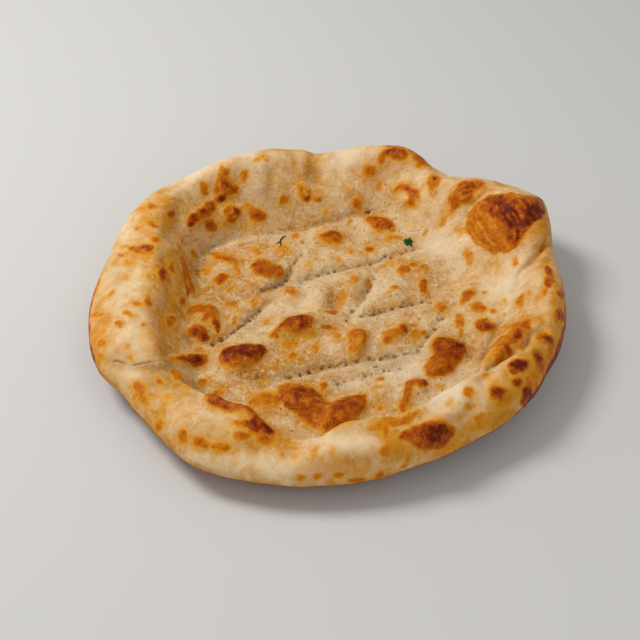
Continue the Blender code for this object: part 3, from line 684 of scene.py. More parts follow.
def sheet_with_fine_squares():
    """A square grid, cut finer where holes and creases go."""
    bm = bmesh.new()
    bmesh.ops.create_grid(bm, x_segments=GRID, y_segments=GRID, size=1.0)
    bm.verts.ensure_lookup_table()
    pq = np.array([v.co[:2] for v in bm.verts])
    angle, s = on_the_bread(pq)
    p, _ = form(angle, s)

    mesh = bpy.data.meshes.new("grid_try")
    bm.to_mesh(mesh)
    mesh.vertices.foreach_set("co", p.ravel())
    mesh.update()
    seen, _ = seen_from_eye(p, mesh_normals(mesh, len(p)))
    finder = Finder(p, seen)
    bpy.data.meshes.remove(mesh)

    fine = np.zeros(len(p), bool)
    for mark in [m for row in HOLES for m in row] + list(PORES) + list(DEEP):
        at = finder.point(*mark)
        fine |= np.abs(p - at).max(1) < 1.9
    for marks in WRINKLES:
        fine |= along(p, finder.path(marks), 9.0) < 1.6
    for depth, half_width, painted_hollow_shade, marks in CREASES:
        fine |= along(p, finder.path(marks), 9.0) < 1.5
    for lip in LIPS:
        if lip[3] > .65:
            fine |= along(p, finder.path(lip[-1]), 9.0) < 1.6
    faces = [f for f in bm.faces if any(fine[v.index] for v in f.verts)]
    edges = list({e for f in faces for e in f.edges})
    bmesh.ops.subdivide_edges(bm, edges=edges, cuts=1, use_grid_fill=True)
    bm.verts.index_update()
    pq = np.array([v.co[:2] for v in bm.verts])
    faces = [[v.index for v in f.verts] for f in bm.faces]
    bm.free()
    return pq, faces


def add_underside(angle, s, faces, rim_ids):
    """Rings from the grid's edge to the middle of the base, fewer points on each."""
    order = rim_ids[np.argsort(np.mod(angle[rim_ids], 2 * math.pi))]
    ring = list(order)
    angles, stations = [angle], [s]
    count = len(s)
    steps = [(3.66, 1), (3.72, 2), (3.78, 1), (3.84, 1), (3.90, 2), (3.95, 1), (4.0, 1)]
    steps += [(4.05 + .05 * k, 2 if k in (4, 12) else 1) for k in range(19)]
    for station, thin in steps:
        n = len(ring) // thin
        a = np.mod(angle[order], 2 * math.pi)[::len(order) // n]
        new = list(range(count, count + n))
        angles.append(a)
        stations.append(np.full(n, station))
        count += n
        for k in range(n):
            k2 = (k + 1) % n
            if thin == 1:
                faces.append([ring[k], new[k], new[k2], ring[k2]])
            else:
                o0, o1, o2 = ring[2 * k], ring[2 * k + 1], ring[(2 * k + 2) % len(ring)]
                faces.append([o0, new[k], o1])
                faces.append([o1, new[k], new[k2]])
                faces.append([o1, new[k2], o2])
        ring = new
    angles.append(np.array([0.0]))
    stations.append(np.array([5.0]))
    for k in range(len(ring)):
        faces.append([ring[k], count, ring[(k + 1) % len(ring)]])
    return np.concatenate(angles), np.concatenate(stations)


def ellipse(px, u, v, a, b, turn, warp):
    """Distance from the middle of a mark, 1 at its edge."""
    c, s = math.cos(math.radians(turn)), math.sin(math.radians(turn))
    du = px[:, 0] - u + warp[:, 0]
    dv = v - px[:, 1] + warp[:, 1]
    return np.hypot((du * c + dv * s) / a, (dv * c - du * s) / b)


def inside_outline(px, outline):
    """Distance in pixels inside the outline, negative outside."""
    x, y = px[:, 0], px[:, 1]
    inside = np.zeros(len(px), bool)
    dist = np.full(len(px), 1e9)
    for (x1, y1), (x2, y2) in zip(outline, outline[1:] + outline[:1]):
        cross = (y1 > y) != (y2 > y)
        with np.errstate(divide="ignore", invalid="ignore"):
            inside ^= cross & (x < (x2 - x1) * (y - y1) / (y2 - y1) + x1)
        ex, ey = x2 - x1, y2 - y1
        t = np.clip(((x - x1) * ex + (y - y1) * ey) / (ex * ex + ey * ey), 0, 1)
        dist = np.minimum(dist, np.hypot(x - x1 - t * ex, y - y1 - t * ey))
    return np.where(inside, dist, -dist)


def warp_mm(warp):
    """The marks' unevenness as a shift in mm."""
    return np.stack([warp[:, 0], warp[:, 1], 0 * warp[:, 0]], 1) * .35


def paint(p, normal, s, weight):
    """Browning, tints, painted highlights and painted shade, and the small relief, point by point."""
    px, depth = project(p)
    seen, facing = seen_from_eye(p, normal)
    finder = Finder(p, seen)
    rng = np.random.default_rng(11)
    warp = np.stack([noise(p, 7, 1) + .45 * noise(p, 3.2, 2),
                     noise(p, 7, 3) + .45 * noise(p, 3.2, 4)], 1) * 1.6
    ripple = np.stack([noise(p, 3.2, 5) + .5 * noise(p, 1.7, 6),
                       noise(p, 3.2, 7) + .5 * noise(p, 1.7, 8)], 1) * 1.2
    brown_and_wrinkle_shading, golden_and_shade, painted_highlight, painted_shade, painted_hollow_shade, lift = (np.zeros(len(p)) for _ in range(6))
    strongest = np.zeros(len(p))
    shows = facing > -0.15

    def near_mark(u, v, reach, far=2.8):
        """Points that this mark may reach, on the side that shows."""
        at = finder.point(u, v)
        box = (np.abs(px[:, 0] - u) < reach) & (np.abs(px[:, 1] - v) < reach) & shows
        ids = np.nonzero(box)[0]
        return ids[np.linalg.norm(p[ids] - at, axis=1) < far * reach / PX + 3.0], at

    for u, v, a, b, turn, tone in SPOTS:
        ids, at = near_mark(u, v, 2.0 * max(a, b) + 6)
        shake = warp[ids] * min(2.0, min(a, b) / 3.6) + ripple[ids] * min(1.2, min(a, b) / 3.4)
        f = ellipse(px[ids], u, v, a + .5, b + .5, turn, shake)
        value = tone * (1 - smooth(.40, 1.5, f))
        brown_and_wrinkle_shading[ids] = 1 - (1 - brown_and_wrinkle_shading[ids]) * (1 - .45 * value)
        strongest[ids] = np.maximum(strongest[ids], value)
        golden_and_shade[ids] = np.maximum(golden_and_shade[ids], (.20 + .40 * tone) * (1 - smooth(.8, 2.1 + 2.5 / min(a, b), f)))
        if tone > .5 and min(a, b) > 3:
            height = min(.9, .07 * min(a, b))
            lift[ids] = np.maximum(lift[ids], height * (1 - smooth(.1, 1.35, f)))
    for level, upper, outline in PATCHES:
        edge = np.array(outline, float)
        (u1, v1), (u2, v2) = edge.min(0), edge.max(0)
        ids, at = near_mark((u1 + u2) / 2, (v1 + v2) / 2, max(u2 - u1, v2 - v1) / 2 + 9)
        deep = inside_outline(px[ids] + warp[ids] * 1.0 + ripple[ids] * 1.0, outline)
        high = smooth(.12, .85, (v2 - px[ids, 1]) / (v2 - v1) + .12 * noise(p[ids], 2.2, 12, (1, 2.5, 1)))
        value = (level + (upper - level) * high) * smooth(-4.5, 3.2, deep)
        value *= 1 + (.17 * noise(p[ids], 3.0, 9) + .13 * noise(p[ids], 1.5, 10)) * smooth(0, 3, deep)
        strongest[ids] = np.maximum(strongest[ids], value)
        golden_and_shade[ids] = np.maximum(golden_and_shade[ids], .65 * smooth(-8, 0, deep))
        lift[ids] = np.maximum(lift[ids], .7 * smooth(-4, 6, deep))
    brown_and_wrinkle_shading = np.maximum(strongest, np.minimum(brown_and_wrinkle_shading, strongest + .10))

    # the big blister
    ids = np.nonzero((np.abs(px[:, 0] - 505) < 52) & (np.abs(px[:, 1] - 224) < 44) & seen)[0]
    at = finder.point(505, 224)
    ids = ids[np.linalg.norm(p[ids] - at, axis=1) < 50]
    deep = inside_outline(px[ids] + warp[ids] * 1.1 + ripple[ids] * 1.2, BLISTER_EDGE)
    body = smooth(-2.2, 2.4, deep)
    tone = np.full(len(ids), .55)
    for u, v, a, b, turn, level in BLISTER_SPOTS:
        f = ellipse(px[ids], u, v, a, b, turn, warp[ids] * 1.3 + ripple[ids])
        tone = np.maximum(tone, level - .42 * smooth(.55, 1.5, f))
    crinkle = noise(p[ids] @ TURN, 1.7, 21, (3.4, 1, 1)) + .6 * noise(p[ids] @ TURN, 1.1, 22, (2.6, 1, 1))
    lift[ids] += body * smooth(0, 6, deep) * (.34 * (1 - np.abs(crinkle) * 1.4))
    brown_and_wrinkle_shading[ids] = np.maximum(brown_and_wrinkle_shading[ids], body * (tone + .10 * crinkle * smooth(1, 5, deep)))
    for marks in WRINKLES:
        near, d, side, fade = beside(p + warp_mm(warp), px, finder.path(marks), 5.0)
        fade = fade * np.clip(.55 + .9 * noise(p[near], 4.5, 23), .08, 1.1)
        lift[near] += fade * (.60 * np.exp(-((d * side - 1.0) / .7) ** 2) - .75 * np.exp(-(d / .62) ** 2))
        # wrinkle tops made less brown, a painted highlight, and troughs browner, painted shade
        brown_and_wrinkle_shading[near] += fade * brown_and_wrinkle_shading[near] * (.12 * np.exp(-(d / .6) ** 2) - .32 * np.exp(-((d * side - 1.1) / .6) ** 2))

    # golden tints (partly painted shade), painted highlights and painted shade, each spread round its listed place
    for table, target in ((GOLDEN_AND_SHADE_TINTS, golden_and_shade), (PAINTED_HIGHLIGHTS, painted_highlight), (PAINTED_SHADE_ZONES, painted_shade)):
        for u, v, a, b, turn, level in table:
            ids, at = near_mark(u, v, 1.7 * max(a, b) + 4, 3.4)
            f = ellipse(px[ids], u, v, a, b, turn, warp[ids] * 2.2)
            target[ids] = 1 - (1 - target[ids]) * (1 - level * np.exp(-1.1 * f ** 2.2))

    for u, v, a, b, turn, height in SWELLS:
        ids, at = near_mark(u, v, 1.8 * max(a, b) + 4, 3.0)
        f = ellipse(px[ids], u, v, a, b, turn, warp[ids] * .8)
        lift[ids] += height * (1.5 if 200 < v < 425 and height > 0 else 1.0) * np.exp(-1.3 * f ** 2.4)

    # holes pricked in rows, with smaller ones between, each with painted shade in it
    holes = [(u, v, 1.0) for row in HOLES for u, v in row]
    for row in HOLES:
        for (u1, v1), (u2, v2) in zip(row[:-1], row[1:]):
            gap = math.hypot(u2 - u1, v2 - v1)
            n = int(gap / 3.2)
            for k in range(1, n):
                t = (k + rng.uniform(-.3, .3)) / n
                holes.append((u1 + (u2 - u1) * t + rng.normal(0, 1.2),
                              v1 + (v2 - v1) * t + rng.normal(0, 1.9), rng.uniform(.15, .7)))
    holes += [(u, v, .6) for u, v in PORES] + [(u, v, 1.5) for u, v in DEEP]
    for u, v, size in holes:
        at = finder.point(u, v)
        lean = np.array([rng.uniform(.2, .8), rng.uniform(-.3, .3), 0])
        d = along(p, np.array([at - lean * .5, at + lean * .5]), 4.0)
        r = .42 + .24 * size
        lift -= (.35 + .85 * size) * np.exp(-(d / (r * 1.15)) ** 2)
        lift += .18 * size * np.exp(-((d - 2.3 * r) / r) ** 2)
        painted_hollow_shade = np.maximum(painted_hollow_shade, min(1.0, .30 + .42 * size) * np.exp(-(d / r) ** 2))

    wander = np.stack([noise(p, 4, 31), noise(p, 4, 32), noise(p, 4, 33)], 1)
    # creases sunk into the skin, with painted shade along their bottoms
    for depth_mm, half_width, level, marks in CREASES:
        ids, d, side, fade = beside(p + wander * half_width * .4, px, finder.path(marks), 9.0)
        lift[ids] -= fade * depth_mm * np.exp(-(d / half_width) ** 2)
        lift[ids] += fade * .3 * depth_mm * np.exp(-((d - 2.6 * half_width) / (1.3 * half_width)) ** 2)
        painted_hollow_shade[ids] = np.maximum(painted_hollow_shade[ids], fade * level * np.exp(-(d / (half_width * .8)) ** 2))
    # lips: a raised step and lip, and a valley with painted shade in it
    for step, lip, lip_width, valley, valley_width, level, marks in LIPS:
        ids, d, side, fade = beside(p + wander * .6, px, finder.path(marks), 26.0)
        signed = side * d
        ahead = np.maximum(signed, 0)
        lift[ids] += fade * step * smooth(-.5, .5, signed / 1.1) * np.exp(-(ahead / 11.0) ** 2)
        lift[ids] += fade * lip * np.exp(-((signed - lip_width) / lip_width) ** 2) * (signed > -1)
        wide = np.where(signed < 0, 1.7, .75) * valley_width
        lift[ids] -= fade * valley * np.exp(-(d / wide) ** 2)
        shade = np.where(signed < 0, 1.1, .45) * valley_width
        painted_hollow_shade[ids] = np.maximum(painted_hollow_shade[ids], fade * level * np.exp(-(d / shade) ** 2))
        # a painted highlight along the lip's top
        painted_highlight[ids] = 1 - (1 - painted_highlight[ids]) * (1 - .45 * fade * np.exp(-((signed - lip_width) / 2.2) ** 2))

    for height, half_width, level, stations in RIDGES:
        turns, at = (np.array([row[i] for row in stations], float) for i in (0, 1))
        fine_turns = np.linspace(turns[0], turns[-1], 40)
        path, _ = form(np.radians(fine_turns), np.interp(fine_turns, turns, at))
        ids, d, side, fade = beside(p, px, path, 5 * half_width)
        lift[ids] += fade * height * np.exp(-(d / half_width) ** 2)
        if level:
            brown_and_wrinkle_shading[ids] = np.maximum(brown_and_wrinkle_shading[ids], level * fade * np.exp(-(d / 1.1) ** 2))

    # the small char ring by the back wall, and the pale flecks in one spot
    at = finder.point(223.5, 186)
    d = np.linalg.norm(p - at, axis=1)
    brown_and_wrinkle_shading = np.maximum(brown_and_wrinkle_shading, .93 * np.exp(-((d - 1.3) / .75) ** 2))
    for u, v in ((304, 186), (307, 190), (304, 192), (309, 187), (306, 195), (231, 213), (233, 218)):
        d = np.linalg.norm(p - finder.point(u, v), axis=1)
        brown_and_wrinkle_shading *= 1 - .75 * np.exp(-(d / .8) ** 2)
    for u, v, r in ((436, 441, 1.6), (437.5, 442, 1.0)):
        d = np.linalg.norm(p - finder.point(u, v), axis=1)
        lift += .5 * np.exp(-(d / r) ** 2)

    # the sides out of sight: spots of the same kind, thinly scattered
    hidden = np.nonzero(~shows & (s > 1.9) & (s < 3.7))[0]
    for k in range(120):
        at = p[hidden[rng.integers(len(hidden))]]
        r = rng.uniform(1.6, 5.2)
        tone = rng.uniform(.38, .82)
        ids = np.nonzero((np.abs(p - at) < 2 * r).all(1) & ~seen)[0]
        f = np.linalg.norm((p[ids] - at) * [1, 1, 1.3], axis=1) / r + .22 * warp[ids, 0]
        brown_and_wrinkle_shading[ids] = np.maximum(brown_and_wrinkle_shading[ids], tone * (1 - smooth(.5, 1.25, f)))

    # the edge that met the oven floor, browner to the front right
    bearing = np.degrees(np.arctan2(p[:, 1], p[:, 0])) % 360
    toward = np.exp(-((np.abs((bearing - 318 + 180) % 360 - 180)) / 60.0) ** 2)
    toward = np.maximum(toward, .75 * np.exp(-((np.abs((bearing - 205 + 180) % 360 - 180)) / 34.0) ** 2))
    front = 1 - smooth(-.05, .40, np.sin(np.radians(bearing)))
    turned = facing + .10 * noise(p, 6, 41) + .05 * noise(p, 2.2, 42)
    rim_side = front * smooth(2.35, 2.85, s) * (s < 3.7)
    brown_and_wrinkle_shading = np.maximum(brown_and_wrinkle_shading, rim_side * smooth(.34 + .16 * toward, .12 + .16 * toward, turned) * (.56 + .40 * toward))
    brown_and_wrinkle_shading = np.maximum(brown_and_wrinkle_shading, smooth(3.15, 3.45, s + .07 * noise(p, 6, 44)) * (.46 + .40 * toward))
    golden_and_shade = np.maximum(golden_and_shade, rim_side * smooth(.95, .45, turned) * (.5 + .4 * toward))

    # the underside: mottled brown where it sat on the hot floor
    base = smooth(3.5, 3.8, s)
    mottle = smooth(-.10, .62, noise(p, 15, 51) + .6 * noise(p, 6, 52) + .35 * noise(p, 3, 53))
    ring = smooth(4.35, 4.05, s)
    brown_and_wrinkle_shading = np.where(base > 0, (1 - base) * brown_and_wrinkle_shading + base * (.16 + .12 * ring + .52 * mottle), brown_and_wrinkle_shading)
    golden_and_shade = np.maximum(golden_and_shade, .45 * base)

    # how coarse the crumb of the skin is: the floor most, the taut rim least
    rough = np.clip(1.05 - .5 * smooth(.9, 1.9, s) - .35 * smooth(1.8, 2.4, s), .15, 1)
    rough = np.clip(rough * (1 + .25 * noise(p, 9, 61)) * (1 - .45 * painted_highlight * (s > 1)), .1, 1)
    rough *= 1 - .5 * np.clip(golden_and_shade, 0, 1) * smooth(.9, 1.4, s)

    # slow swells and finer unevenness
    lift += weight * (.75 * noise(p, 15, 71) + .55 * noise(p, 7, 72)) * smooth(0, .4, s + .3)
    lift += rough * weight * (.26 * noise(p, 3.6, 73) + .26 * noise(p, 1.9, 74))
    lift += (1 - weight) * (s < 3.9) * (.35 * noise(p, 12, 75) + .10 * noise(p, 4, 76))
    lift *= 1 - smooth(3.75, 3.98, s)
    return dict(brown_and_wrinkle_shading=brown_and_wrinkle_shading, golden_and_shade=golden_and_shade, painted_highlight=painted_highlight, painted_shade=painted_shade, painted_hollow_shade=painted_hollow_shade, rough=rough), lift, finder


TURN = np.array([[math.cos(math.radians(-52)), -math.sin(math.radians(-52)), 0],
                 [math.sin(math.radians(-52)), math.cos(math.radians(-52)), 0],
                 [0, 0, 1.0]])


def make_crust():
    pq, faces = sheet_with_fine_squares()
    angle, s = on_the_bread(pq)
    edge = np.nonzero(np.abs(pq).max(1) > 1 - 1e-6)[0]
    sheet_count = len(pq)
    angle, s = add_underside(angle, s, faces, edge)
    p, weight = form(angle, s)

    mesh = bpy.data.meshes.new("naan_crust")
    mesh.from_pydata((p * MM).tolist(), [], faces)
    mesh.update()
    normal = mesh_normals(mesh, len(p))
    coats, lift, finder = paint(p, normal, s, weight)

    q = p + normal * lift[:, None]
    q[:, 2] = np.where(s >= 4, 0.0, np.maximum(q[:, 2], 0.0))
    q = (q - SHIFT) * MM
    mesh.vertices.foreach_set("co", q.ravel())
    mesh.shade_smooth()
    mesh.update()
    for name, values in coats.items():
        layer = mesh.attributes.new(name, "FLOAT", "POINT")
        layer.data.foreach_set("value", values.astype(np.float32))

    # the bake's map: the grid from above on the left, the underside on the right
    uv = np.empty((len(p), 2))
    uv[:sheet_count] = (pq + 1) / 2 * .96 + .02
    uv[:sheet_count, 0] *= .74
    flat = p[:, :2] / 240.0
    layer = mesh.uv_layers.new(name="OFBake")
    loops = np.empty(len(mesh.loops), np.int32)
    mesh.loops.foreach_get("vertex_index", loops)
    starts = np.empty(len(mesh.polygons), np.int32)
    sizes = np.empty(len(mesh.polygons), np.int32)
    mesh.polygons.foreach_get("loop_start", starts)
    mesh.polygons.foreach_get("loop_total", sizes)
    face_of = np.repeat(np.arange(len(starts)), sizes)
    low = np.zeros(len(starts), bool)
    np.logical_or.at(low, face_of, loops >= sheet_count)
    under_uv = np.stack([.745 + .25 * (flat[:, 0] + .5), .5 + .25 * 4 * flat[:, 1] * .9], 1)
    corner = np.where(low[face_of][:, None], under_uv[loops], uv[np.minimum(loops, len(uv) - 1)])
    layer.data.foreach_set("uv", corner.astype(np.float32).ravel())

    crust = bpy.data.objects.new("naan_crust", mesh)
    bpy.context.scene.collection.objects.link(crust)
    return crust, finder


# ------------------------------------------------------------------- materials
def colour(r, g, b):
    def linear(c):
        c /= 255.0
        return c / 12.92 if c <= 0.04045 else ((c + 0.055) / 1.055) ** 2.4
    return (linear(r), linear(g), linear(b), 1.0)


class Nodes:
    def __init__(self, name):
        self.mat = bpy.data.materials.new(name)
        self.mat.use_nodes = True
        self.tree = self.mat.node_tree
        self.bsdf = self.tree.nodes["Principled BSDF"]

    def add(self, kind, **settings):
        node = self.tree.nodes.new(kind)
        for key, value in settings.items():
            setattr(node, key, value)
        return node

    def link(self, a, b):
        self.tree.links.new(a, b)

    def put(self, socket, value):
        if isinstance(value, (int, float)):
            socket.default_value = value
        elif isinstance(value, tuple):
            socket.default_value = value
        else:
            self.link(value, socket)

    def math(self, operation, a, b=None, c=None, clamp=False):
        node = self.add("ShaderNodeMath", operation=operation, use_clamp=clamp)
        for i, value in enumerate((a, b, c)):
            if value is not None:
                self.put(node.inputs[i], value)
        return node.outputs[0]

    def attribute(self, name):
        return self.add("ShaderNodeAttribute", attribute_name=name, attribute_type="GEOMETRY").outputs["Fac"]

    def noise(self, vector, scale, detail=2.0, rough=.5, distort=0.0):
        node = self.add("ShaderNodeTexNoise")
        self.link(vector, node.inputs["Vector"])
        node.inputs["Scale"].default_value = scale
        node.inputs["Detail"].default_value = detail
        node.inputs["Roughness"].default_value = rough
        node.inputs["Distortion"].default_value = distort
        return node.outputs["Fac"]

    def range(self, value, low, high, to_low=0.0, to_high=1.0, kind="SMOOTHSTEP"):
        node = self.add("ShaderNodeMapRange", interpolation_type=kind)
        self.put(node.inputs["Value"], value)
        for key, x in (("From Min", low), ("From Max", high), ("To Min", to_low), ("To Max", to_high)):
            node.inputs[key].default_value = x
        return node.outputs["Result"]

    def mix(self, factor, a, b, blend="MIX"):
        node = self.add("ShaderNodeMix", data_type="RGBA", blend_type=blend)
        self.put(node.inputs["Factor"], factor)
        self.put(node.inputs[6], a)
        self.put(node.inputs[7], b)
        return node.outputs[2]

    def ramp(self, value, stops):
        node = self.add("ShaderNodeValToRGB")
        self.link(value, node.inputs["Fac"])
        elements = node.color_ramp.elements
        while len(elements) > 1:
            elements.remove(elements[-1])
        elements[0].position, elements[0].color = stops[0]
        for position, rgba in stops[1:]:
            elements.new(position).color = rgba
        return node.outputs["Color"]


def crust_material():
    n = Nodes("browned_dough")
    at = n.add("ShaderNodeTexCoord").outputs["Object"]
    brown_and_wrinkle_shading, golden_and_shade, painted_highlight = n.attribute("brown_and_wrinkle_shading"), n.attribute("golden_and_shade"), n.attribute("painted_highlight")
    painted_shade, painted_hollow_shade, rough = n.attribute("painted_shade"), n.attribute("painted_hollow_shade"), n.attribute("rough")

    slow = n.noise(at, 85, 2)
    mid = n.noise(at, 360, 3, .55)
    fine = n.noise(at, 1350, 2, .6)
    grain = n.noise(at, 3200, 2, .6)
    blots = n.noise(at, 210, 2, .6, .4)

    # dough: cream, warmer by area (golden colour and in places painted shade), paler with painted highlights and cream
    # flecks, darker with painted shade, with a mealy grain
    tint = n.math("MULTIPLY_ADD", n.range(slow, .40, .62), .40, n.math("MULTIPLY", golden_and_shade, .82))
    tint = n.math("MULTIPLY_ADD", n.range(blots, .44, .64), .40, tint)
    tint = n.math("MULTIPLY_ADD", n.math("SUBTRACT", fine, .68), .60, tint, clamp=True)
    dough = n.mix(tint, colour(229, 198, 148), colour(203, 132, 18))
    # painted highlight, cream-white
    dough = n.mix(n.math("MULTIPLY", painted_highlight, .8), dough, colour(240, 223, 193))
    # painted shade, greenish brown
    dough = n.mix(n.math("MULTIPLY", painted_shade, .65), dough, colour(150, 112, 46))
    meal = n.range(grain, .38, .64)
    dough = n.mix(n.math("MULTIPLY", n.math("MULTIPLY", meal, rough), .36), dough, colour(164, 118, 58))
    cream = n.range(n.noise(at, 420, 3, .6), .46, .74)
    cream = n.math("MULTIPLY", cream, n.math("MULTIPLY_ADD", rough, .45, .10))
    dough = n.mix(cream, dough, colour(244, 226, 194))

    # faint freckles, then the browning itself, ragged at its edges
    freckle = n.range(n.noise(at, 165, 3, .6), .53, .70, 0, .34)
    freckle = n.math("MULTIPLY", freckle, n.math("MULTIPLY_ADD", golden_and_shade, .7, .5))
    ragged = n.math("MULTIPLY_ADD", n.math("SUBTRACT", mid, .5), .85, 1.0)
    ragged = n.math("MULTIPLY_ADD", n.math("SUBTRACT", fine, .5), .62, ragged)
    toast = n.math("MULTIPLY", brown_and_wrinkle_shading, ragged)
    toast = n.math("MAXIMUM", toast, freckle)
    toasted = n.ramp(toast, (
        (0.00, colour(224, 176, 96)), (0.20, colour(222, 169, 64)),
        (0.35, colour(216, 151, 36)), (0.50, colour(205, 126, 11)),
        (0.62, colour(190, 102, 7)), (0.74, colour(168, 78, 3)),
        (0.85, colour(144, 55, 2)), (0.94, colour(120, 36, 3)), (1.00, colour(96, 24, 2))))
    skin = n.mix(n.range(toast, .03, .56), dough, toasted)

    # painted shade in the pricked holes, the bottoms of creases and the valleys under lips
    skin = n.mix(n.math("MULTIPLY", painted_hollow_shade, .80), skin, colour(98, 66, 28))

    # tiny pores: a dip in the bump, with painted shade darkening each pit
    pores = n.add("ShaderNodeTexVoronoi", feature="F1")
    n.link(at, pores.inputs["Vector"])
    pores.inputs["Scale"].default_value = 330
    pit = n.math("MULTIPLY", n.range(pores.outputs["Distance"], .05, .24, 1, 0), rough)
    skin = n.mix(n.math("MULTIPLY", pit, .25), skin, colour(150, 108, 54))
    n.link(skin, n.bsdf.inputs["Base Color"])

    shine = n.math("MULTIPLY_ADD", n.math("SUBTRACT", mid, .5), .30, .60)
    shine = n.math("MULTIPLY_ADD", brown_and_wrinkle_shading, -.20, shine, clamp=True)
    shine = n.math("MULTIPLY_ADD", rough, .10, shine, clamp=True)
    n.link(shine, n.bsdf.inputs["Roughness"])

    height = n.math("MULTIPLY", n.math("ADD", n.math("MULTIPLY", fine, .55), n.math("MULTIPLY", mid, .8)), rough)
    height = n.math("MULTIPLY_ADD", grain, .14, height)
    height = n.math("MULTIPLY_ADD", pit, -.45, height)
    bump = n.add("ShaderNodeBump")
    bump.inputs["Strength"].default_value = 1.0
    bump.inputs["Distance"].default_value = .0014
    n.link(height, bump.inputs["Height"])
    n.link(bump.outputs["Normal"], n.bsdf.inputs["Normal"])

    n.bsdf.inputs["Specular IOR Level"].default_value = .16
    n.bsdf.inputs["Specular Tint"].default_value = (1.0, .74, .42, 1.0)
    n.bsdf.inputs["Coat Weight"].default_value = .03
    n.bsdf.inputs["Coat Roughness"].default_value = .34
    n.bsdf.inputs["Subsurface Weight"].default_value = .12
    n.bsdf.inputs["Subsurface Radius"].default_value = (1.0, .55, .28)
    n.bsdf.inputs["Subsurface Scale"].default_value = .0022
    return n.mat


def leaf_material():
    n = Nodes("parsley_leaf")
    at = n.add("ShaderNodeTexCoord").outputs["Object"]
    patch = n.noise(at, 900, 3, .6)
    n.link(n.ramp(patch, ((.30, colour(6, 36, 12)), (.55, colour(14, 66, 20)), (.75, colour(40, 98, 34)))),
           n.bsdf.inputs["Base Color"])
    bump = n.add("ShaderNodeBump")
    bump.inputs["Strength"].default_value = .6
    bump.inputs["Distance"].default_value = .0002
    n.link(n.noise(at, 2400, 2), bump.inputs["Height"])
    n.link(bump.outputs["Normal"], n.bsdf.inputs["Normal"])
    n.link(n.range(patch, .3, .7, .45, .7), n.bsdf.inputs["Roughness"])
    n.bsdf.inputs["Specular IOR Level"].default_value = .14
    return n.mat


def thread_material():
    n = Nodes("dried_herb")
    at = n.add("ShaderNodeTexCoord").outputs["Object"]
    patch = n.noise(at, 1500, 3, .6)
    n.link(n.ramp(patch, ((.3, colour(12, 14, 8)), (.7, colour(36, 38, 16)))), n.bsdf.inputs["Base Color"])
    n.link(n.range(patch, .3, .7, .5, .8), n.bsdf.inputs["Roughness"])
    n.bsdf.inputs["Specular IOR Level"].default_value = .12
    return n.mat


# ------------------------------------------------------------------ small pieces
def on_skin(tree, x, y):
    """Height and normal of the finished crust at x, y (m)."""
    hit, at, normal, _ = tree.ray_cast(Vector((x, y, .2)), Vector((0, 0, -1)))
    return at, normal


def make_leaf(crust, at):
    """A torn bit of leaf: toothed lobes round a middle point, slightly cupped."""
    lobes = ((70, 2.5), (12, 2.3), (130, 2.5), (-48, 2.6), (178, 2.7), (236, 2.5))
    ring = []
    for k in range(72):
        a = 2 * math.pi * k / 72
        r = 1.5
        for turn, reach in lobes:
            off = (math.degrees(a) - turn + 180) % 360 - 180
            r = max(r, reach * math.exp(-(off / 27.0) ** 4))
        r *= 1 + .10 * math.sin(13 * a) + .06 * math.sin(29 * a + 1)
        ring.append((r * math.cos(a), r * math.sin(a)))
    bm = bmesh.new()
    rows = []
    for share in (0.0, .35, .7, 1.0):
        if share == 0:
            rows.append([bm.verts.new((0, 0, 0))])
        else:
            rows.append([bm.verts.new((x * share, y * share, 0)) for x, y in ring])
    for k in range(72):
        k2 = (k + 1) % 72
        bm.faces.new((rows[0][0], rows[1][k], rows[1][k2]))
        for a, b in ((1, 2), (2, 3)):
            bm.faces.new((rows[a][k], rows[b][k], rows[b][k2], rows[a][k2]))
    for v in bm.verts:
        x, y = v.co.x, v.co.y
        v.co.z = .16 * math.sin(1.7 * x + .6) + .12 * math.sin(2.3 * y) + .05 * (x * x + y * y) * .3
    mesh = bpy.data.meshes.new("parsley_fleck")
    bm.to_mesh(mesh)
    bm.free()
    for v in mesh.vertices:
        x, y = v.co.x * MM * .95, v.co.y * MM * 1.15
        place, _ = on_skin(crust, at[0] + x, at[1] + y)
        v.co = (place.x, place.y, place.z + v.co.z * MM + .00042)
    leaf = bpy.data.objects.new("parsley_fleck", mesh)
    bpy.context.scene.collection.objects.link(leaf)
    solid = leaf.modifiers.new("thickness", "SOLIDIFY")
    solid.thickness = .00022
    solid.offset = 0
    mesh.materials.append(leaf_material())
    mesh.shade_smooth()
    return leaf


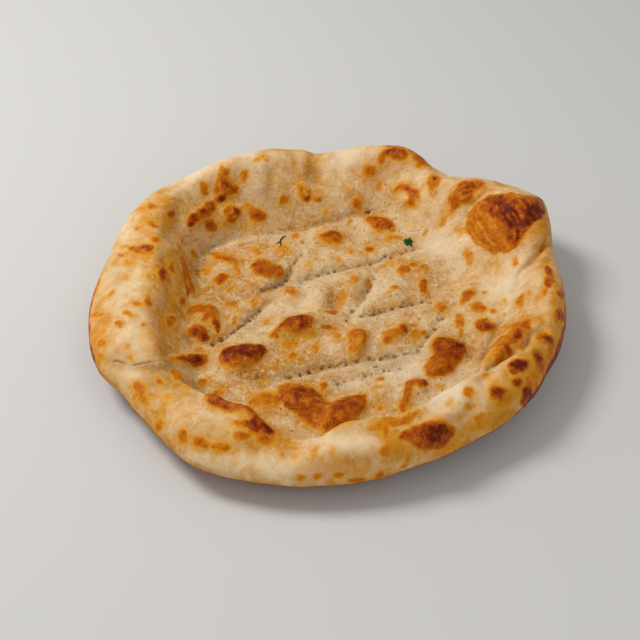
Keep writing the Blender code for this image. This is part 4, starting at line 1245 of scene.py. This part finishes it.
def make_thread(crust, strands):
    """A dried herb thread with a side shoot, as tapering tubes on the crust."""
    bm = bmesh.new()
    for marks, thick in strands:
        count = 16
        pts = np.array(marks, float)
        t = np.linspace(0, len(pts) - 1, count)
        xs = np.interp(t, range(len(pts)), pts[:, 0])
        ys = np.interp(t, range(len(pts)), pts[:, 1])
        for _ in range(2):
            xs[1:-1] = (xs[:-2] + 2 * xs[1:-1] + xs[2:]) / 4
            ys[1:-1] = (ys[:-2] + 2 * ys[1:-1] + ys[2:]) / 4
        line = []
        for k in range(count):
            place, _ = on_skin(crust, xs[k], ys[k])
            line.append(Vector((xs[k], ys[k], place.z + (.00028 + .0003 * math.sin(math.pi * k / count)))))
        rings = []
        for k in range(count):
            ahead = (line[min(k + 1, count - 1)] - line[max(k - 1, 0)]).normalized()
            side = ahead.cross(Vector((0, 0, 1))).normalized()
            up = side.cross(ahead)
            r = thick * MM * (.35 + .65 * math.sin(math.pi * (k + 1.5) / (count + 2))) * (1 + .15 * math.sin(2.1 * k))
            rings.append([bm.verts.new(line[k] + side * (r * math.cos(a)) + up * (r * math.sin(a)))
                          for a in (2 * math.pi * j / 8 for j in range(8))])
        for a, b in zip(rings[:-1], rings[1:]):
            for j in range(8):
                bm.faces.new((a[j], a[(j + 1) % 8], b[(j + 1) % 8], b[j]))
        bm.faces.new(rings[0][::-1])
        bm.faces.new(rings[-1])
    bmesh.ops.recalc_face_normals(bm, faces=bm.faces[:])
    mesh = bpy.data.meshes.new("herb_thread")
    bm.to_mesh(mesh)
    bm.free()
    mesh.materials.append(thread_material())
    mesh.shade_smooth()
    thread = bpy.data.objects.new("herb_thread", mesh)
    bpy.context.scene.collection.objects.link(thread)
    return thread


# ------------------------------------------------------------ camera and lights
def make_camera():
    data = bpy.data.cameras.new("camera")
    data.sensor_width = 36.0
    data.lens = FOCAL * 36.0 / 640.0
    data.clip_start, data.clip_end = .02, 20.0
    camera = bpy.data.objects.new("camera", data)
    camera.location = Vector((EYE - SHIFT) * MM)
    camera.rotation_euler = (math.pi / 2 - PITCH, 0, 0)
    bpy.context.scene.collection.objects.link(camera)
    bpy.context.scene.camera = camera


def area(name, place, size, power, tint):
    data = bpy.data.lights.new(name, "AREA")
    data.shape = "DISK"
    data.size = size
    data.energy = power
    data.color = tint
    lamp = bpy.data.objects.new(name, data)
    lamp.location = place
    lamp.rotation_mode = "QUATERNION"
    lamp.rotation_quaternion = (Vector(place) - Vector((0, 0, .01))).to_track_quat("Z", "Y")
    bpy.context.scene.collection.objects.link(lamp)


def make_studio():
    bm = bmesh.new()
    bmesh.ops.create_grid(bm, x_segments=8, y_segments=8, size=3.0)
    mesh = bpy.data.meshes.new("floor")
    bm.to_mesh(mesh)
    bm.free()
    floor = bpy.data.objects.new("floor", mesh)
    floor.location = (0, 0, -.0002)
    bpy.context.scene.collection.objects.link(floor)
    n = Nodes("pale_floor")
    n.bsdf.inputs["Base Color"].default_value = (.60, .595, .585, 1)
    n.bsdf.inputs["Roughness"].default_value = .8
    n.bsdf.inputs["Specular IOR Level"].default_value = .2
    mesh.materials.append(n.mat)

    world = bpy.data.worlds.new("studio")
    world.use_nodes = True
    world.node_tree.nodes["Background"].inputs["Color"].default_value = (1, .985, .965, 1)
    world.node_tree.nodes["Background"].inputs["Strength"].default_value = .42
    bpy.context.scene.world = world
    area("window", (-.62, .24, .86), .42, 8.2, (1, .985, .96))
    area("front_fill", (.32, -.80, .62), .9, 1.8, (1, .98, .95))


# ------------------------------------------------------------------- the scene
make_camera()
make_studio()
crust, finder = make_crust()
crust.data.materials.append(crust_material())
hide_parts("naan")
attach(crust, "root")

bpy.context.view_layer.update()


class Surface:
    def __init__(self, ob):
        from mathutils.bvhtree import BVHTree
        self.tree = BVHTree.FromObject(ob, bpy.context.evaluated_depsgraph_get())

    def ray_cast(self, start, way):
        at, normal, index, _ = self.tree.ray_cast(start, way)
        return at is not None, at, normal, index


surface = Surface(crust)


def place(u, v):
    at = (finder.point(u, v) - SHIFT) * MM
    return at[0], at[1]


leaf = make_leaf(surface, place(408.5, 242.5))
thread = make_thread(surface, (
    ([place(285.5, 239), place(282.5, 240), place(280.5, 242), place(279.5, 243.2), place(276, 244.8)], .32),
    ([place(280.5, 242.2), place(280.8, 244.5), place(280.3, 247.2)], .30),
))
for piece in (leaf, thread):
    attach(piece, "root")

scene = bpy.context.scene
scene.view_settings.view_transform = "Standard"
scene.view_settings.look = "None"
